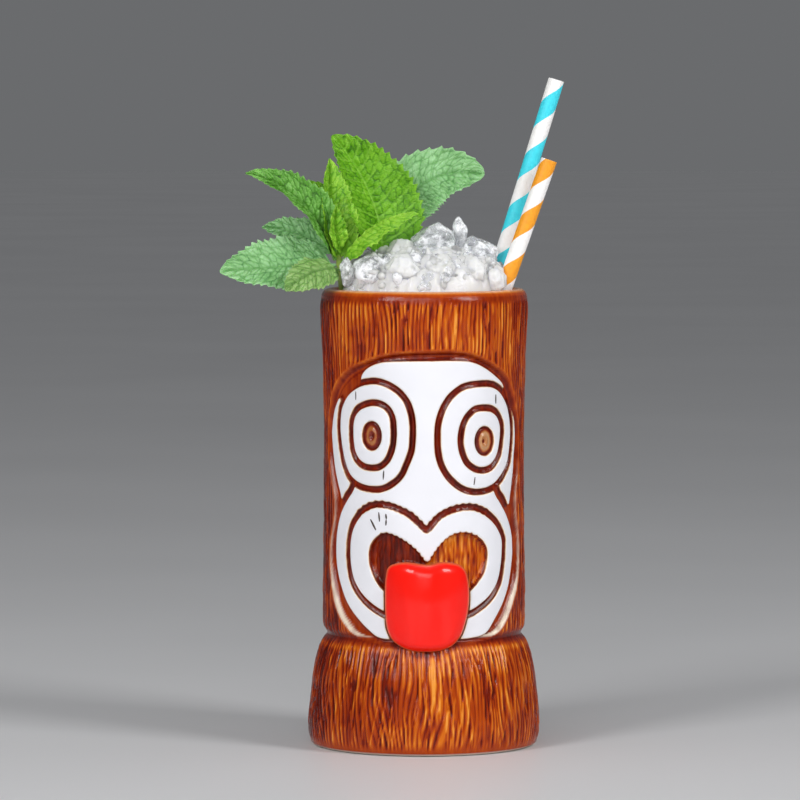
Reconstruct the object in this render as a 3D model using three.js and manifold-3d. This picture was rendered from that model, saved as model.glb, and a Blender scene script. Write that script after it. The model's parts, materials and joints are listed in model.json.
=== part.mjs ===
// A ceramic tiki mug shaped like a carved log, served: packed ice with loose lumps on top,
// two spiral-striped paper straws and a bunch of fresh mint.
//
// Millimetres, +Z up. The origin is the centre of the mug's flat foot, and the face looks along -Y.
// "left" and "right" are the viewer's, so left is -X.
import * as THREE from "three";
import { mergeVertices } from "three/addons/utils/BufferGeometryUtils.js";
import Module from "manifold-3d";

const wasm = await Module();
wasm.setup();

// ---------------------------------------------------------------- driving dimensions

const SEGMENTS = 60; // facets round the mug, shared by everything that follows its curve
const GAP = 0.3; // between a relief piece and the wall it is bonded to

const MUG_HEIGHT = 174.5;
const WAIST_Z = 42.8; // the groove between the log and its flared base
const WALL_IN_TOP = 35.2; // inner radius at the rim
const WALL_IN_BOTTOM = 33.2; // inner radius above the floor
const FLOOR_Z = 9;

const RECESS_R = 36.3; // floor of the carved face
const MOUTH_R = 35.3; // floor of the open mouth, carved deeper
const FACE_R = 38; // white surface of the face relief
const TONGUE_R = 44.6; // front of the tongue
const LINE_WIDTH = 2.2; // carved brown line between two white areas
const JAW_LINE = 1.4; // carved line between a temple and the jaw
const PUPIL_LINE = 0.9; // dark line round a pupil
const LIP_GAP = 0.2; // between the lips and the edge of the mouth
const TONGUE_GAP = 0.5;

const STRAW_LENGTH = 197;
const STRAW_R = 3.1;
const STRAW_WALL = 0.5;
const STRAW_BORE_IN_ICE = STRAW_R + 0.4;

const PACK_BOTTOM = 112;
const PACK_GAP = 0.5; // between the ice and the mug's wall

// ---------------------------------------------------------------- helpers

const material = (color, roughness) => new THREE.MeshStandardMaterial({ color, roughness, metalness: 0 });
const BROWN_GLAZE = material(0x8a3a08, 0.15);
const WHITE_GLAZE = material(0xe9e9ee, 0.35);
const RED_GLAZE = material(0xd8140c, 0.15);
const AMBER_GLAZE = material(0xb5651d, 0.2);
const ICE = material(0xe6eef4, 0.1);
const BLUE_PAPER = material(0x35c8dc, 0.7);
const ORANGE_PAPER = material(0xf09a1c, 0.7);
const LEAF = material(0x4f9a2c, 0.5);
const STEM = material(0x9cae3a, 0.5);

// A closed three.js geometry as a manifold-3d solid.
function solid(geometry) {
  const bare = geometry.index ? geometry.toNonIndexed() : geometry.clone();
  bare.deleteAttribute("normal");
  bare.deleteAttribute("uv");
  const merged = mergeVertices(bare, 1e-4);
  return new wasm.Manifold(
    new wasm.Mesh({
      numProp: 3,
      vertProperties: merged.attributes.position.array,
      triVerts: new Uint32Array(merged.index.array),
    }),
  );
}

// A manifold-3d solid as a named three.js mesh.
function piece(name, body, look) {
  const { vertProperties, triVerts } = body.getMesh();
  const geometry = new THREE.BufferGeometry();
  geometry.setAttribute("position", new THREE.BufferAttribute(vertProperties, 3));
  geometry.setIndex(new THREE.BufferAttribute(triVerts, 1));
  geometry.computeVertexNormals();
  const mesh = new THREE.Mesh(geometry, look);
  mesh.name = name;
  return mesh;
}

// A solid of revolution about Z from [radius, z] pairs.
function turned(profile, segments = SEGMENTS) {
  const points = profile.map(([r, z]) => new THREE.Vector2(r, z));
  return solid(new THREE.LatheGeometry(points, segments).rotateX(Math.PI / 2));
}

const tubeWall = (rIn, rOut, z0, z1) =>
  turned([[rIn, z0], [rOut, z0], [rOut, z1], [rIn, z1], [rIn, z0]]);

// A closed smooth outline through [x, z] points, as points in the front view.
function smooth(points, count = 48) {
  const curve = new THREE.CatmullRomCurve3(
    points.map(([x, z]) => new THREE.Vector3(x, z, 0)), true, "centripetal",
  );
  return curve.getSpacedPoints(count).slice(0, -1).map((p) => [p.x, p.y]);
}

function ellipse([x, z], [a, b], count = 36) {
  return Array.from({ length: count }, (_, i) => {
    const t = (2 * Math.PI * i) / count;
    return [x + a * Math.cos(t), z + b * Math.sin(t)];
  });
}

// The outline moved outwards by a distance, or inwards if it is negative.
function offset(outline, distance) {
  const n = outline.length;
  const area = outline.reduce((sum, [x, z], i) => {
    const [x2, z2] = outline[(i + 1) % n];
    return sum + x * z2 - x2 * z;
  }, 0);
  const side = Math.sign(area) * distance;
  return outline.map(([x, z], i) => {
    const [xa, za] = outline[(i + n - 1) % n];
    const [xb, zb] = outline[(i + 1) % n];
    const along = new THREE.Vector2(xb - xa, zb - za).normalize();
    return [x + side * along.y, z - side * along.x];
  });
}

// Everything in front of the mug's axis that lies inside an outline of the front view.
function prism(outline, depth = 60) {
  const shape = new THREE.Shape(outline.map(([x, z]) => new THREE.Vector2(x, z)));
  const geometry = new THREE.ExtrudeGeometry(shape, { depth, bevelEnabled: false });
  return solid(geometry.rotateX(Math.PI / 2));
}

// A deterministic value in -1..1 for a numbered detail.
function jitter(seed) {
  const s = Math.sin(seed * 127.1 + 311.7) * 43758.5453;
  return 2 * (s - Math.floor(s)) - 1;
}

// ---------------------------------------------------------------- the carved face, front view [x, z]

// Each eye by the middle of the carved lines round its ring and its iris, and the middle of its pupil.
const EYES = {
  left: {
    ring: smooth([
      [-18.3, 140.8], [-13.6, 139.5], [-9.4, 136.7], [-6.8, 133.5], [-5.2, 129.3], [-4.5, 124.6],
      [-4.5, 119.9], [-5.0, 114.7], [-6.8, 109.9], [-8.9, 105.4], [-12.2, 102.2], [-15.9, 100.3],
      [-19.7, 99.9], [-24.4, 100.8], [-27.3, 102.6], [-29.2, 105.0], [-30.6, 109.0], [-31.6, 113.7],
      [-32.3, 119.5], [-32.5, 124.4], [-31.9, 130.3], [-29.4, 135.8], [-26.5, 138.5], [-23.0, 140.2],
    ], 40),
    iris: smooth([
      [-19.7, 132.6], [-23.0, 131.7], [-25.4, 130.1], [-27.0, 127.6], [-27.7, 124.4], [-27.8, 121.1],
      [-27.6, 117.3], [-27.0, 113.6], [-25.6, 110.6], [-23.0, 108.5], [-19.7, 108.0], [-16.9, 108.6],
      [-14.5, 110.6], [-12.9, 113.5], [-12.0, 116.8], [-11.7, 120.1], [-11.7, 123.8], [-12.3, 127.6],
      [-13.8, 130.4], [-16.4, 132.2],
    ], 36),
    pupil: [-19.9, 120.1],
  },
  right: {
    ring: smooth([
      [22.8, 139.7], [25.9, 139.3], [28.7, 137.5], [30.6, 134.7], [32.0, 131.3], [32.8, 127.3],
      [33.2, 123.0], [33.2, 118.7], [32.8, 114.1], [32.1, 109.4], [30.8, 105.9], [29.0, 103.1],
      [26.8, 100.8], [23.3, 99.2], [20.0, 98.9], [16.6, 99.4], [13.8, 100.6], [11.0, 102.8],
      [8.6, 105.4], [6.2, 109.9], [5.1, 114.7], [4.9, 119.9], [5.2, 124.6], [6.4, 129.3],
      [8.4, 133.2], [11.2, 136.4], [14.8, 138.7], [19.0, 139.6],
    ], 40),
    iris: smooth([
      [22.8, 130.6], [25.6, 130.0], [27.7, 128.3], [28.9, 125.9], [29.5, 123.0], [29.4, 119.0],
      [28.9, 115.3], [28.0, 111.8], [26.3, 108.9], [24.2, 107.4], [21.4, 107.0], [18.8, 107.8],
      [16.4, 109.7], [14.8, 112.6], [13.9, 115.9], [13.7, 118.7], [14.0, 122.0], [15.0, 125.3],
      [16.6, 128.0], [19.0, 130.1],
    ], 36),
    pupil: [22.7, 118.0],
  },
};
const PUPIL_RING = [3.6, 5.5]; // half sizes of the pupil's hole in the iris

// Edge of the carved field: brow, temples, jaw, and the waist groove below.
const FIELD = smooth([
  [0.0, 151.8], [10.0, 151.9], [16.0, 151.2], [20.0, 149.9], [26.6, 146.0], [30.0, 143.2], [32.3, 139.1],
  [34.2, 131.5], [35.2, 123.8], [35.4, 114.0], [35.1, 105.0], [34.3, 97.0], [34.5, 89.0], [35.4, 82.0],
  [35.5, 72.0], [34.8, 63.0], [33.4, 56.5], [31.0, 50.0], [27.0, 44.6], [19.0, 42.6], [0.0, 42.2],
  [-18.0, 42.4], [-25.5, 43.8], [-29.4, 47.6], [-32.7, 53.4], [-34.5, 61.5], [-35.5, 72.0], [-35.2, 80.0],
  [-34.0, 88.5], [-34.0, 95.5], [-35.4, 103.5], [-36.3, 112.0], [-36.4, 120.0], [-35.7, 129.0],
  [-34.2, 136.2], [-31.6, 141.2], [-27.4, 145.2], [-21.0, 148.3], [-15.0, 150.4], [-8.0, 151.4],
], 72);

// White area from the forehead down the nose and round the mouth as the jaw.
const MASK = smooth([
  [-23.9, 142.6], [-22.3, 145.0], [-19.6, 146.8], [-16.0, 148.0], [-8.0, 148.5], [2.0, 148.6],
  [11.0, 148.7], [17.0, 148.2], [21.4, 146.6], [26.6, 142.8], [30.2, 138.0], [27.0, 128.0], [24.0, 112.0],
  [26.6, 98.4], [28.9, 94.2], [31.2, 89.6], [33.0, 83.4], [33.6, 76.0], [33.1, 68.8], [31.9, 61.8],
  [29.6, 55.3], [26.7, 50.0], [23.4, 45.2], [19.2, 43.8], [0.0, 43.6], [-17.2, 43.8], [-20.6, 46.0],
  [-24.9, 50.1], [-28.9, 55.4], [-31.6, 62.0], [-33.2, 69.0], [-33.6, 77.0], [-33.0, 84.6], [-31.4, 91.0],
  [-29.1, 95.6], [-26.9, 99.4], [-24.0, 112.0], [-25.0, 128.0],
], 80);

// Slivers of white between an eye and the edge of the field.
const TEMPLES = {
  left: smooth([
    [-32.2, 133.8], [-33.9, 130.1], [-34.75, 125.3], [-35.1, 120.6], [-34.9, 115.8], [-34.5, 111.1],
    [-33.9, 106.4], [-33.0, 101.8], [-31.9, 97.2], [-31.4, 95.2], [-30.3, 97.4], [-28.0, 101.7],
    [-30.0, 118.0], [-31.4, 130.0],
  ], 40),
  right: smooth([
    [32.3, 132.6], [33.4, 129.0], [34.2, 125.2], [34.5, 120.5], [34.4, 115.8], [34.0, 111.1],
    [33.8, 106.4], [33.3, 101.7], [32.8, 97.0], [32.0, 92.9], [30.6, 96.2], [28.5, 99.8],
    [30.0, 118.0], [31.6, 129.0],
  ], 40),
};

// Middle of the carved line round the heart-shaped mouth.
const MOUTH_LINE = smooth([
  [0.8, 85.0], [3.0, 87.3], [5.5, 89.9], [8.4, 91.6], [11.8, 92.8], [15.2, 93.3], [18.2, 93.2],
  [21.2, 92.2], [24.1, 90.4], [26.6, 87.9], [28.7, 84.7], [30.1, 80.7], [30.2, 76.0], [29.8, 70.4],
  [28.9, 65.4], [27.2, 61.2], [24.6, 57.8], [21.4, 55.2], [17.6, 53.0], [9.0, 50.4], [0.0, 49.6],
  [-9.0, 50.4], [-15.4, 52.7], [-19.4, 55.0], [-22.9, 57.8], [-25.7, 61.2], [-27.6, 65.2], [-28.6, 70.0],
  [-28.9, 75.6], [-28.7, 80.6], [-27.9, 84.5], [-26.5, 87.8], [-24.6, 90.6], [-22.2, 92.7], [-19.2, 94.0],
  [-16.2, 94.3], [-12.6, 93.7], [-9.2, 92.4], [-5.6, 90.6], [-2.2, 87.6],
], 72);

// Open mouth inside the lips. The tongue hides its lower part.
const MOUTH = smooth([
  [1.2, 72.6], [3.4, 75.6], [6.6, 79.8], [9.6, 82.3], [13.0, 83.6], [16.5, 83.5], [19.8, 82.2],
  [22.4, 79.9], [23.8, 76.6], [23.8, 72.8], [22.6, 68.4], [20.0, 64.4], [15.0, 60.0], [0.0, 56.0],
  [-13.0, 60.0], [-18.1, 65.0], [-20.2, 69.8], [-21.0, 75.0], [-20.2, 79.2], [-18.0, 82.1], [-15.0, 83.5],
  [-11.4, 82.7], [-7.4, 80.6], [-3.0, 77.1],
], 56);

const TONGUE = smooth([
  [1.5, 72.0], [6.1, 73.0], [9.6, 72.7], [13.0, 71.8], [15.4, 69.4], [16.4, 65.6], [16.8, 60.0],
  [16.4, 54.4], [15.3, 49.4], [13.6, 44.9], [10.8, 41.5], [7.0, 39.7], [1.6, 39.0], [-4.4, 39.3],
  [-8.8, 40.8], [-12.0, 43.3], [-13.8, 46.8], [-14.6, 52.0], [-14.8, 60.0], [-14.5, 67.0], [-13.4, 70.9],
  [-10.4, 72.4], [-6.4, 72.9], [-2.0, 72.4],
], 48);

// ---------------------------------------------------------------- the mug

// Outside of the mug from the foot to the waist, and from the waist to the rim.
const OUTSIDE = [
  [42.0, 0], [43.0, 0.9], [44.1, 8.0], [43.4, 18.0], [42.1, 28.6], [40.4, 36.0], [38.7, 40.6],
  [37.0, WAIST_Z - 0.8], [37.0, WAIST_Z + 0.5], [38.4, WAIST_Z + 2.2],
  [38.5, 60.0], [38.0, 84.0], [38.0, 124.0], [38.6, 148.0], [39.3, 163.0], [39.5, 171.5],
];
const RIM = [[38.9, 173.6], [37.4, MUG_HEIGHT], [36.0, 174.0], [WALL_IN_TOP, 172.6]];
const INSIDE = [[WALL_IN_BOTTOM, 16], [31.4, 10.8], [27, FLOOR_Z]];

function mugBody() {
  const whole = turned([[0, 0], ...OUTSIDE, ...RIM, ...INSIDE, [0, FLOOR_Z]]);
  const seat = prism(offset(TONGUE, TONGUE_GAP - GAP)); // the wall stays full behind the tongue
  const field = prism(FIELD).intersect(tubeWall(RECESS_R, 60, 30, 170));
  const mouth = prism(MOUTH).intersect(tubeWall(MOUTH_R, 60, 30, 170));
  return whole.subtract(field.add(mouth).subtract(seat));
}

// A bonded relief plate: what lies inside the outline, less the cutters, on the curve of the face.
const FACE_PLATE = tubeWall(RECESS_R + GAP, FACE_R, 30, 170);
function plate(outline, cutters) {
  const away = wasm.Manifold.union([...cutters, prism(offset(TONGUE, TONGUE_GAP))]);
  return prism(outline).intersect(FACE_PLATE).subtract(away);
}

function faceRelief() {
  const half = LINE_WIDTH / 2;
  const eyes = Object.values(EYES).map(({ ring }) => prism(offset(ring, half)));
  const made = [
    piece("face_mask", plate(MASK, [...eyes, prism(offset(MOUTH_LINE, half))]), WHITE_GLAZE),
    piece("lips", plate(offset(MOUTH_LINE, -half), [prism(offset(MOUTH, LIP_GAP))]), WHITE_GLAZE),
  ];
  for (const [side, eye] of Object.entries(EYES)) {
    const pupil = ellipse(eye.pupil, PUPIL_RING);
    const aroundTemple = [prism(offset(eye.ring, half)), prism(offset(MASK, JAW_LINE))];
    made.push(
      piece(`temple_${side}`, plate(TEMPLES[side], aroundTemple), WHITE_GLAZE),
      piece(`eye_ring_${side}`, plate(offset(eye.ring, -half), [prism(offset(eye.iris, half))]), WHITE_GLAZE),
      piece(`iris_${side}`, plate(offset(eye.iris, -half), [prism(pupil)]), WHITE_GLAZE),
      piece(`pupil_${side}`, plate(offset(pupil, -PUPIL_LINE), []), AMBER_GLAZE),
    );
  }
  return made;
}

// The tongue: a rounded boss over the mouth, the jaw and the top of the base.
function tongue() {
  const bevel = 3;
  const inner = offset(TONGUE, -bevel).map(([x, z]) => new THREE.Vector2(x, z));
  const boss = new THREE.ExtrudeGeometry(new THREE.Shape(inner), {
    depth: TONGUE_R - bevel, bevelThickness: bevel, bevelSize: bevel, bevelSegments: 3, curveSegments: 1,
  });
  const clearOfMug = turned([
    [0, 30], [43, 30], [40.4 + GAP, 36], [38.7 + GAP, 41], [38.5 + GAP, 44.5], [38.5 + GAP, 60],
    [38 + GAP, 84], [0, 84],
  ]);
  const front = turned([
    [0, 30], [TONGUE_R - 2.6, 36], [TONGUE_R, 50], [TONGUE_R, 64], [TONGUE_R - 1.4, 80], [0, 84],
  ]);
  return solid(boss.rotateX(Math.PI / 2)).intersect(front).subtract(clearOfMug);
}

// ---------------------------------------------------------------- straws

// Each straw by a point of its axis at the height of the rim, its lean towards +X, and its top.
const STRAWS = {
  blue: { atRim: [26.2, 3.2], leanDegrees: 17.0, top: 254.0, look: BLUE_PAPER },
  orange: { atRim: [30.3, -7.5], leanDegrees: 19.3, top: 223.6, look: ORANGE_PAPER },
};

function straw(rOut, rIn, { atRim: [x, y], leanDegrees, top }, length, segments = 16) {
  const lean = THREE.MathUtils.degToRad(leanDegrees);
  const profile = [[rIn, 0], [rOut, 0], [rOut, -length], [rIn, -length], [rIn, 0]];
  const shape = rIn > 0 ? profile : [[0, 0], [rOut, 0], [rOut, -length], [0, -length]];
  const points = shape.map(([r, z]) => new THREE.Vector2(r, z)).reverse();
  const rise = top - MUG_HEIGHT;
  const geometry = new THREE.LatheGeometry(points, segments)
    .rotateX(Math.PI / 2)
    .rotateY(lean)
    .translate(x + rise * Math.tan(lean), y, top);
  return solid(geometry);
}

// ---------------------------------------------------------------- mint

// The bunch's two stems are parallel, so that it pulls out of the ice along them.
const STEM_AXIS = new THREE.Vector3(-4, -1.5, 48).normalize();
const STEM_R = 1.25;
const STEM_BORE_R = STEM_R + 0.5;
const STEMS = {
  left: { foot: [-28.6, -5.0, 140], length: 47.5 },
  right: { foot: [-11.5, 4.0, 146], length: 42 },
};
const LEAF_THICKNESS = 0.7;
const LEAF_MIN_HALF_WIDTH = 0.55; // the stalk between stem and blade
const STALK_SHARE = 0.06;

// Each leaf by its midrib (base, bend, tip), the way its upper face looks, its width, and how far its
// halves fold up about the midrib, in degrees.
const LEAVES = {
  crown: {
    rib: [[-15.4, 3.6, 189.0], [-16.4, 12, 213], [-35.4, 8, 233]],
    face: [0.35, -0.93, 0.1], width: 32, fold: 24,
  },
  right: {
    rib: [[-13.4, 4.4, 188.4], [-8, 24, 223], [23.4, 13, 217.5]],
    face: [-0.1, -1, 0.35], width: 24, fold: 12,
  },
  back_tip: {
    rib: [[-16.6, 4.8, 188.6], [-30, 19, 205], [-48, 16, 215.6]],
    face: [0, -1, 0.3], width: 13, fold: 14,
  },
  upper_left: {
    rib: [[-35.4, -9.0, 189.4], [-43, -15, 213], [-67.9, -18, 218.5]],
    face: [0.45, -0.75, 0.5], width: 17, fold: 26,
  },
  lower_left: {
    rib: [[-34.4, -8, 184], [-53, -17, 186.6], [-77.5, -21, 184]],
    face: [0, -0.8, 0.6], width: 23, fold: 8,
  },
  front_left: {
    rib: [[-32.6, -10.4, 181.2], [-42, -24.5, 184], [-52.4, -32, 174.6]],
    face: [0.2, -0.8, 0.6], width: 14, fold: -14,
  },
  back_left: {
    rib: [[-34.8, -4.4, 187], [-46, 2, 197], [-62, 3, 197.5]],
    face: [0, -0.8, 0.6], width: 14, fold: 10,
  },
  young_tall: {
    rib: [[-32.4, -5.2, 189.4], [-38.4, -3.4, 205], [-36.2, -2.6, 224]],
    face: [0.5, -0.85, 0], width: 15, fold: 34,
  },
  young_small: {
    rib: [[-32.0, -8.4, 189.6], [-35.4, -12, 198], [-33.4, -13.6, 207]],
    face: [0.4, -0.95, 0], width: 10, fold: 40,
  },
  front_right: {
    rib: [[-30.4, -8.2, 187.4], [-20, -16, 203], [-1.9, -17, 203.4]],
    face: [0.1, -0.5, 1], width: 15, fold: -28,
  },
};

// Half the width of a blade at share u of its length, as a share of its greatest half width.
const bladeOutline = (u) => Math.pow(Math.sin(Math.PI * Math.pow(u, 0.78)), 0.85);

function leaf({ rib, face, width, fold }) {
  const along = 9;
  const across = 4;
  const curve = new THREE.QuadraticBezierCurve3(...rib.map((p) => new THREE.Vector3(...p)));
  const angle = THREE.MathUtils.degToRad(fold);
  const geometry = new THREE.BoxGeometry(1, 1, 1, along, across, 1);
  const position = geometry.attributes.position;
  for (let i = 0; i < position.count; i += 1) {
    const u = position.getX(i) + 0.5;
    const v = 2 * position.getY(i);
    const t = curve.getTangent(u);
    const side = new THREE.Vector3().crossVectors(new THREE.Vector3(...face), t).normalize();
    const normal = new THREE.Vector3().crossVectors(t, side);
    const onBlade = THREE.MathUtils.clamp((u - STALK_SHARE) / (1 - STALK_SHARE), 0, 1);
    const half = Math.max(LEAF_MIN_HALF_WIDTH, (width / 2) * bladeOutline(onBlade));
    const point = curve.getPoint(u)
      .addScaledVector(side, v * half * Math.cos(angle))
      .addScaledVector(normal, Math.abs(v) * half * Math.sin(angle))
      .addScaledVector(normal, position.getZ(i) * LEAF_THICKNESS);
    position.setXYZ(i, point.x, point.y, point.z);
  }
  return solid(geometry);
}

// A round bar along the stems' axis.
function stemBar([x, y, z], length, radius, segments = 10) {
  const turn = new THREE.Quaternion().setFromUnitVectors(new THREE.Vector3(0, 1, 0), STEM_AXIS);
  return solid(
    new THREE.CylinderGeometry(radius * 0.94, radius, length, segments, 6)
      .translate(0, length / 2, 0)
      .applyQuaternion(turn)
      .translate(x, y, z),
  );
}

// ---------------------------------------------------------------- ice

// Lumps as centre, half sizes and a turn about Z and Y in degrees. The loose ones lie on the others.
const LUMPS = {
  loose_crown: { at: [3.4, -7.0, 192.4], half: [7.6, 6.4, 6.6], turn: [20, 0] },
  loose_shard: { at: [13.4, 1.6, 195.4], half: [2.5, 3.2, 5.8], turn: [10, 20] },
  loose_right: { at: [20.8, -7.6, 188.4], half: [6.4, 5.6, 5.4], turn: [-15, 0] },
  front_left: { at: [-19.6, -16.4, 180.6], half: [7.6, 6.2, 5.6], turn: [15, 0] },
  edge_left: { at: [-29.2, -13.6, 180.6], half: [2.6, 3.2, 5.2], turn: [0, 8] },
  front: { at: [-6.0, -21.0, 181.4], half: [6.6, 6.2, 5.6], turn: [35, 0] },
  front_middle: { at: [6.6, -21.8, 181.6], half: [5.8, 5.4, 5.8], turn: [-20, 0] },
  front_right: { at: [18.0, -18.6, 181.2], half: [5.6, 5.4, 5.6], turn: [50, 0] },
  edge_right: { at: [26.2, -17.6, 178.4], half: [3.4, 3.8, 3.4], turn: [0, 0] },
  middle: { at: [-8.4, -8.6, 187.0], half: [4.8, 4.8, 5.0], turn: [25, 0] },
  back: { at: [4.0, 9.0, 188.0], half: [7.0, 6.4, 6.0], turn: [60, 0] },
  back_left: { at: [-14.0, 15.6, 182.6], half: [6.4, 6.0, 5.4], turn: [10, 0] },
  back_middle: { at: [-1.0, 23.4, 180.8], half: [6.2, 5.4, 5.6], turn: [40, 0] },
  back_right: { at: [14.4, 19.0, 182.2], half: [6.4, 6.0, 5.6], turn: [-30, 0] },
};

function lumpGeometry({ at, half, turn: [aboutZ, aboutY] }, seed) {
  const geometry = new THREE.IcosahedronGeometry(1, 1);
  const position = geometry.attributes.position;
  for (let i = 0; i < position.count; i += 1) {
    const p = new THREE.Vector3().fromBufferAttribute(position, i);
    const key = Math.round(p.x * 50) * 7 + Math.round(p.y * 50) * 13 + Math.round(p.z * 50) * 29;
    p.multiplyScalar(1 + 0.06 * jitter(seed + key));
    position.setXYZ(i, p.x, p.y, p.z);
  }
  return geometry
    .scale(...half)
    .rotateY(THREE.MathUtils.degToRad(aboutY))
    .rotateZ(THREE.MathUtils.degToRad(aboutZ))
    .translate(...at);
}

// Wall radius of the mug's inside at a height.
const wallRadius = (z) =>
  WALL_IN_BOTTOM + ((WALL_IN_TOP - WALL_IN_BOTTOM) * (z - 16)) / (172.6 - 16);

// Crushed ice frozen into one plug that stands just under the lumps, with bores for the straws and the
// stems, and a low heap in its middle. Every bore runs on past both ends of what stands in it.
const BORE_OVERRUN = 10;
const STEM_BORE_DEPTH = 1.2; // below a stem's foot
function icePack() {
  const fit = (z) => [wallRadius(z) - PACK_GAP, z];
  const heap = [[31.5, 174.2], [15, 174.2], [11, 180.5], [0, 181.2]];
  const plug = turned([[0, PACK_BOTTOM], fit(PACK_BOTTOM), fit(150), fit(171), ...heap], 24);
  const strawBores = Object.values(STRAWS).map(({ atRim, leanDegrees, top }) =>
    straw(
      STRAW_BORE_IN_ICE, 0, { atRim, leanDegrees, top: top + BORE_OVERRUN },
      STRAW_LENGTH + 4 * BORE_OVERRUN, 12,
    ));
  const stemBores = Object.values(STEMS).map(({ foot, length }) => {
    const start = foot.map((c, i) => c - STEM_BORE_DEPTH * STEM_AXIS.getComponent(i));
    return stemBar(start, length + 4 * BORE_OVERRUN, STEM_BORE_R, 8);
  });
  return plug.subtract(wasm.Manifold.union([...strawBores, ...stemBores]));
}

// ---------------------------------------------------------------- assembly

const mug = new THREE.Group();
mug.add(piece("mug_body", mugBody(), BROWN_GLAZE), ...faceRelief(), piece("tongue", tongue(), RED_GLAZE));

const ice = new THREE.Group();
ice.add(piece("ice_pack", icePack(), ICE));
Object.entries(LUMPS).forEach(([name, lump], i) =>
  ice.add(piece(`ice_${name}`, solid(lumpGeometry(lump, i)), ICE)));

const straws = new THREE.Group();
for (const [name, s] of Object.entries(STRAWS))
  straws.add(piece(`straw_${name}`, straw(STRAW_R, STRAW_R - STRAW_WALL, s, STRAW_LENGTH), s.look));

const mint = new THREE.Group();
for (const [name, { foot, length }] of Object.entries(STEMS))
  mint.add(piece(`mint_stem_${name}`, stemBar(foot, length, STEM_R), STEM));
for (const [name, shape] of Object.entries(LEAVES))
  mint.add(piece(`mint_leaf_${name}`, leaf(shape), LEAF));

const tikiMug = new THREE.Group();
tikiMug.add(mug, ice, straws, mint);

export default tikiMug;
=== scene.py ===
"""Looks of a ceramic tiki mug served with crushed ice, two striped paper straws and fresh mint.

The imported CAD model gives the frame, in metres. Outlines and profiles below are in millimetres and
turned into metres when a mesh is made. The face looks along -Y, and "left" is the viewer's, -X.
"""

import json
import math
from types import SimpleNamespace

import bpy
import numpy as np
from mathutils import Matrix, Vector, geometry, noise

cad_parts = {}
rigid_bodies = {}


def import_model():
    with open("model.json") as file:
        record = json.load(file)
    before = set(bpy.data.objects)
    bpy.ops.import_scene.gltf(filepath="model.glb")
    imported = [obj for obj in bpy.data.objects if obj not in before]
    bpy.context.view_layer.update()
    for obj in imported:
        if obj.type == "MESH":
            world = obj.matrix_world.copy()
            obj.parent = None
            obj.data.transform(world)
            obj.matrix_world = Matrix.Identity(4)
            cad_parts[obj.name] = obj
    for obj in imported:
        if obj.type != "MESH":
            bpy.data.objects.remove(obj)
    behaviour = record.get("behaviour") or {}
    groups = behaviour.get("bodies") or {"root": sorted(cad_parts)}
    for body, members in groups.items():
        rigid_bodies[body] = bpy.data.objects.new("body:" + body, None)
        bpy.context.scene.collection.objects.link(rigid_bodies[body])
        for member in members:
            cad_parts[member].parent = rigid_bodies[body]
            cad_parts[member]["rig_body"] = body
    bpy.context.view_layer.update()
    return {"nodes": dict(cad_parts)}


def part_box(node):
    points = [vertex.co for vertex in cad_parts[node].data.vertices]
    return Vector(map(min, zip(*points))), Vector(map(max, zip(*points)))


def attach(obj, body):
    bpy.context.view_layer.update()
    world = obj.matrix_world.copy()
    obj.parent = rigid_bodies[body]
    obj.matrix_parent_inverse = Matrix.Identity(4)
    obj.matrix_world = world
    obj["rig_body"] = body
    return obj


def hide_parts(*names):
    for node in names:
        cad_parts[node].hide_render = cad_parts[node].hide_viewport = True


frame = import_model()

# ------------------------------------------------------------------ driving sizes, in mm

MM = 0.001
WALL_R = 38.0  # the log's outside, where the unrolled face is measured
MUG_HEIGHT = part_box("mug_body")[1].z / MM
WAIST_Z = 42.8
FACE_FLOOR_R = 36.35  # bottom of the carved lines
FACE_R = 38.05  # surface of the white relief
PLATE_FLOOR_R = 36.2  # where the white plates and the pupils end, inside the wall
PLATE_EDGE_R = 0.70
PLATE_EDGE_DROP = 0.60
MOUTH_FLOOR_R = 35.3
LINE_WIDTH = 2.2  # carved brown line between two white areas
JAW_LINE = 1.4  # carved line between a temple and the jaw
PUPIL_LINE = 0.7  # dark line round a pupil
TONGUE_RISE = 6.2
TONGUE_EDGE_R = 3.4
TONGUE_SEAT_R = 38.35  # the wall that the tongue rises from
TONGUE_FLOOR_R = 38.3  # where the tongue ends, inside that wall
TONGUE_LEVELS = (0.0, 0.08, 0.25, 0.55, 0.95, 1.5, 2.2, 3.0, 4.0, 5.0, 6.2, 7.5)  # rows of points
TONGUE_MIDDLE = (1.2, 56.0)
TONGUE_HALF = (15.8, 17.0)
STRAW_R = 3.1
STRAW_WALL = 0.5
STRIPE_PITCH = 21.0
STRAW_LENGTH = 197.0
RIBS = 126  # round the log
GRID_STEP = 0.4  # of the fields on the unrolled wall
ICE_IOR = 1.31


# ------------------------------------------------------------------ outlines, front view [x, z], in mm

def smooth_loop(points, count):
    """A closed centripetal Catmull-Rom curve through the points, as count evenly spaced points."""
    p = np.array(points, float)
    n = len(p)
    fine = []
    for i in range(n):
        a, b, c, d = p[i - 1], p[i], p[(i + 1) % n], p[(i + 2) % n]
        ta = 0.0
        tb = ta + np.linalg.norm(b - a) ** 0.5
        tc = tb + np.linalg.norm(c - b) ** 0.5
        td = tc + np.linalg.norm(d - c) ** 0.5
        t = np.linspace(tb, tc, 24, endpoint=False)[:, None]
        ab = (tb - t) / (tb - ta) * a + (t - ta) / (tb - ta) * b
        bc = (tc - t) / (tc - tb) * b + (t - tb) / (tc - tb) * c
        cd = (td - t) / (td - tc) * c + (t - tc) / (td - tc) * d
        abc = (tc - t) / (tc - ta) * ab + (t - ta) / (tc - ta) * bc
        bcd = (td - t) / (td - tb) * bc + (t - tb) / (td - tb) * cd
        fine.append((tc - t) / (tc - tb) * abc + (t - tb) / (tc - tb) * bcd)
    return even(np.vstack(fine), count)


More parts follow.
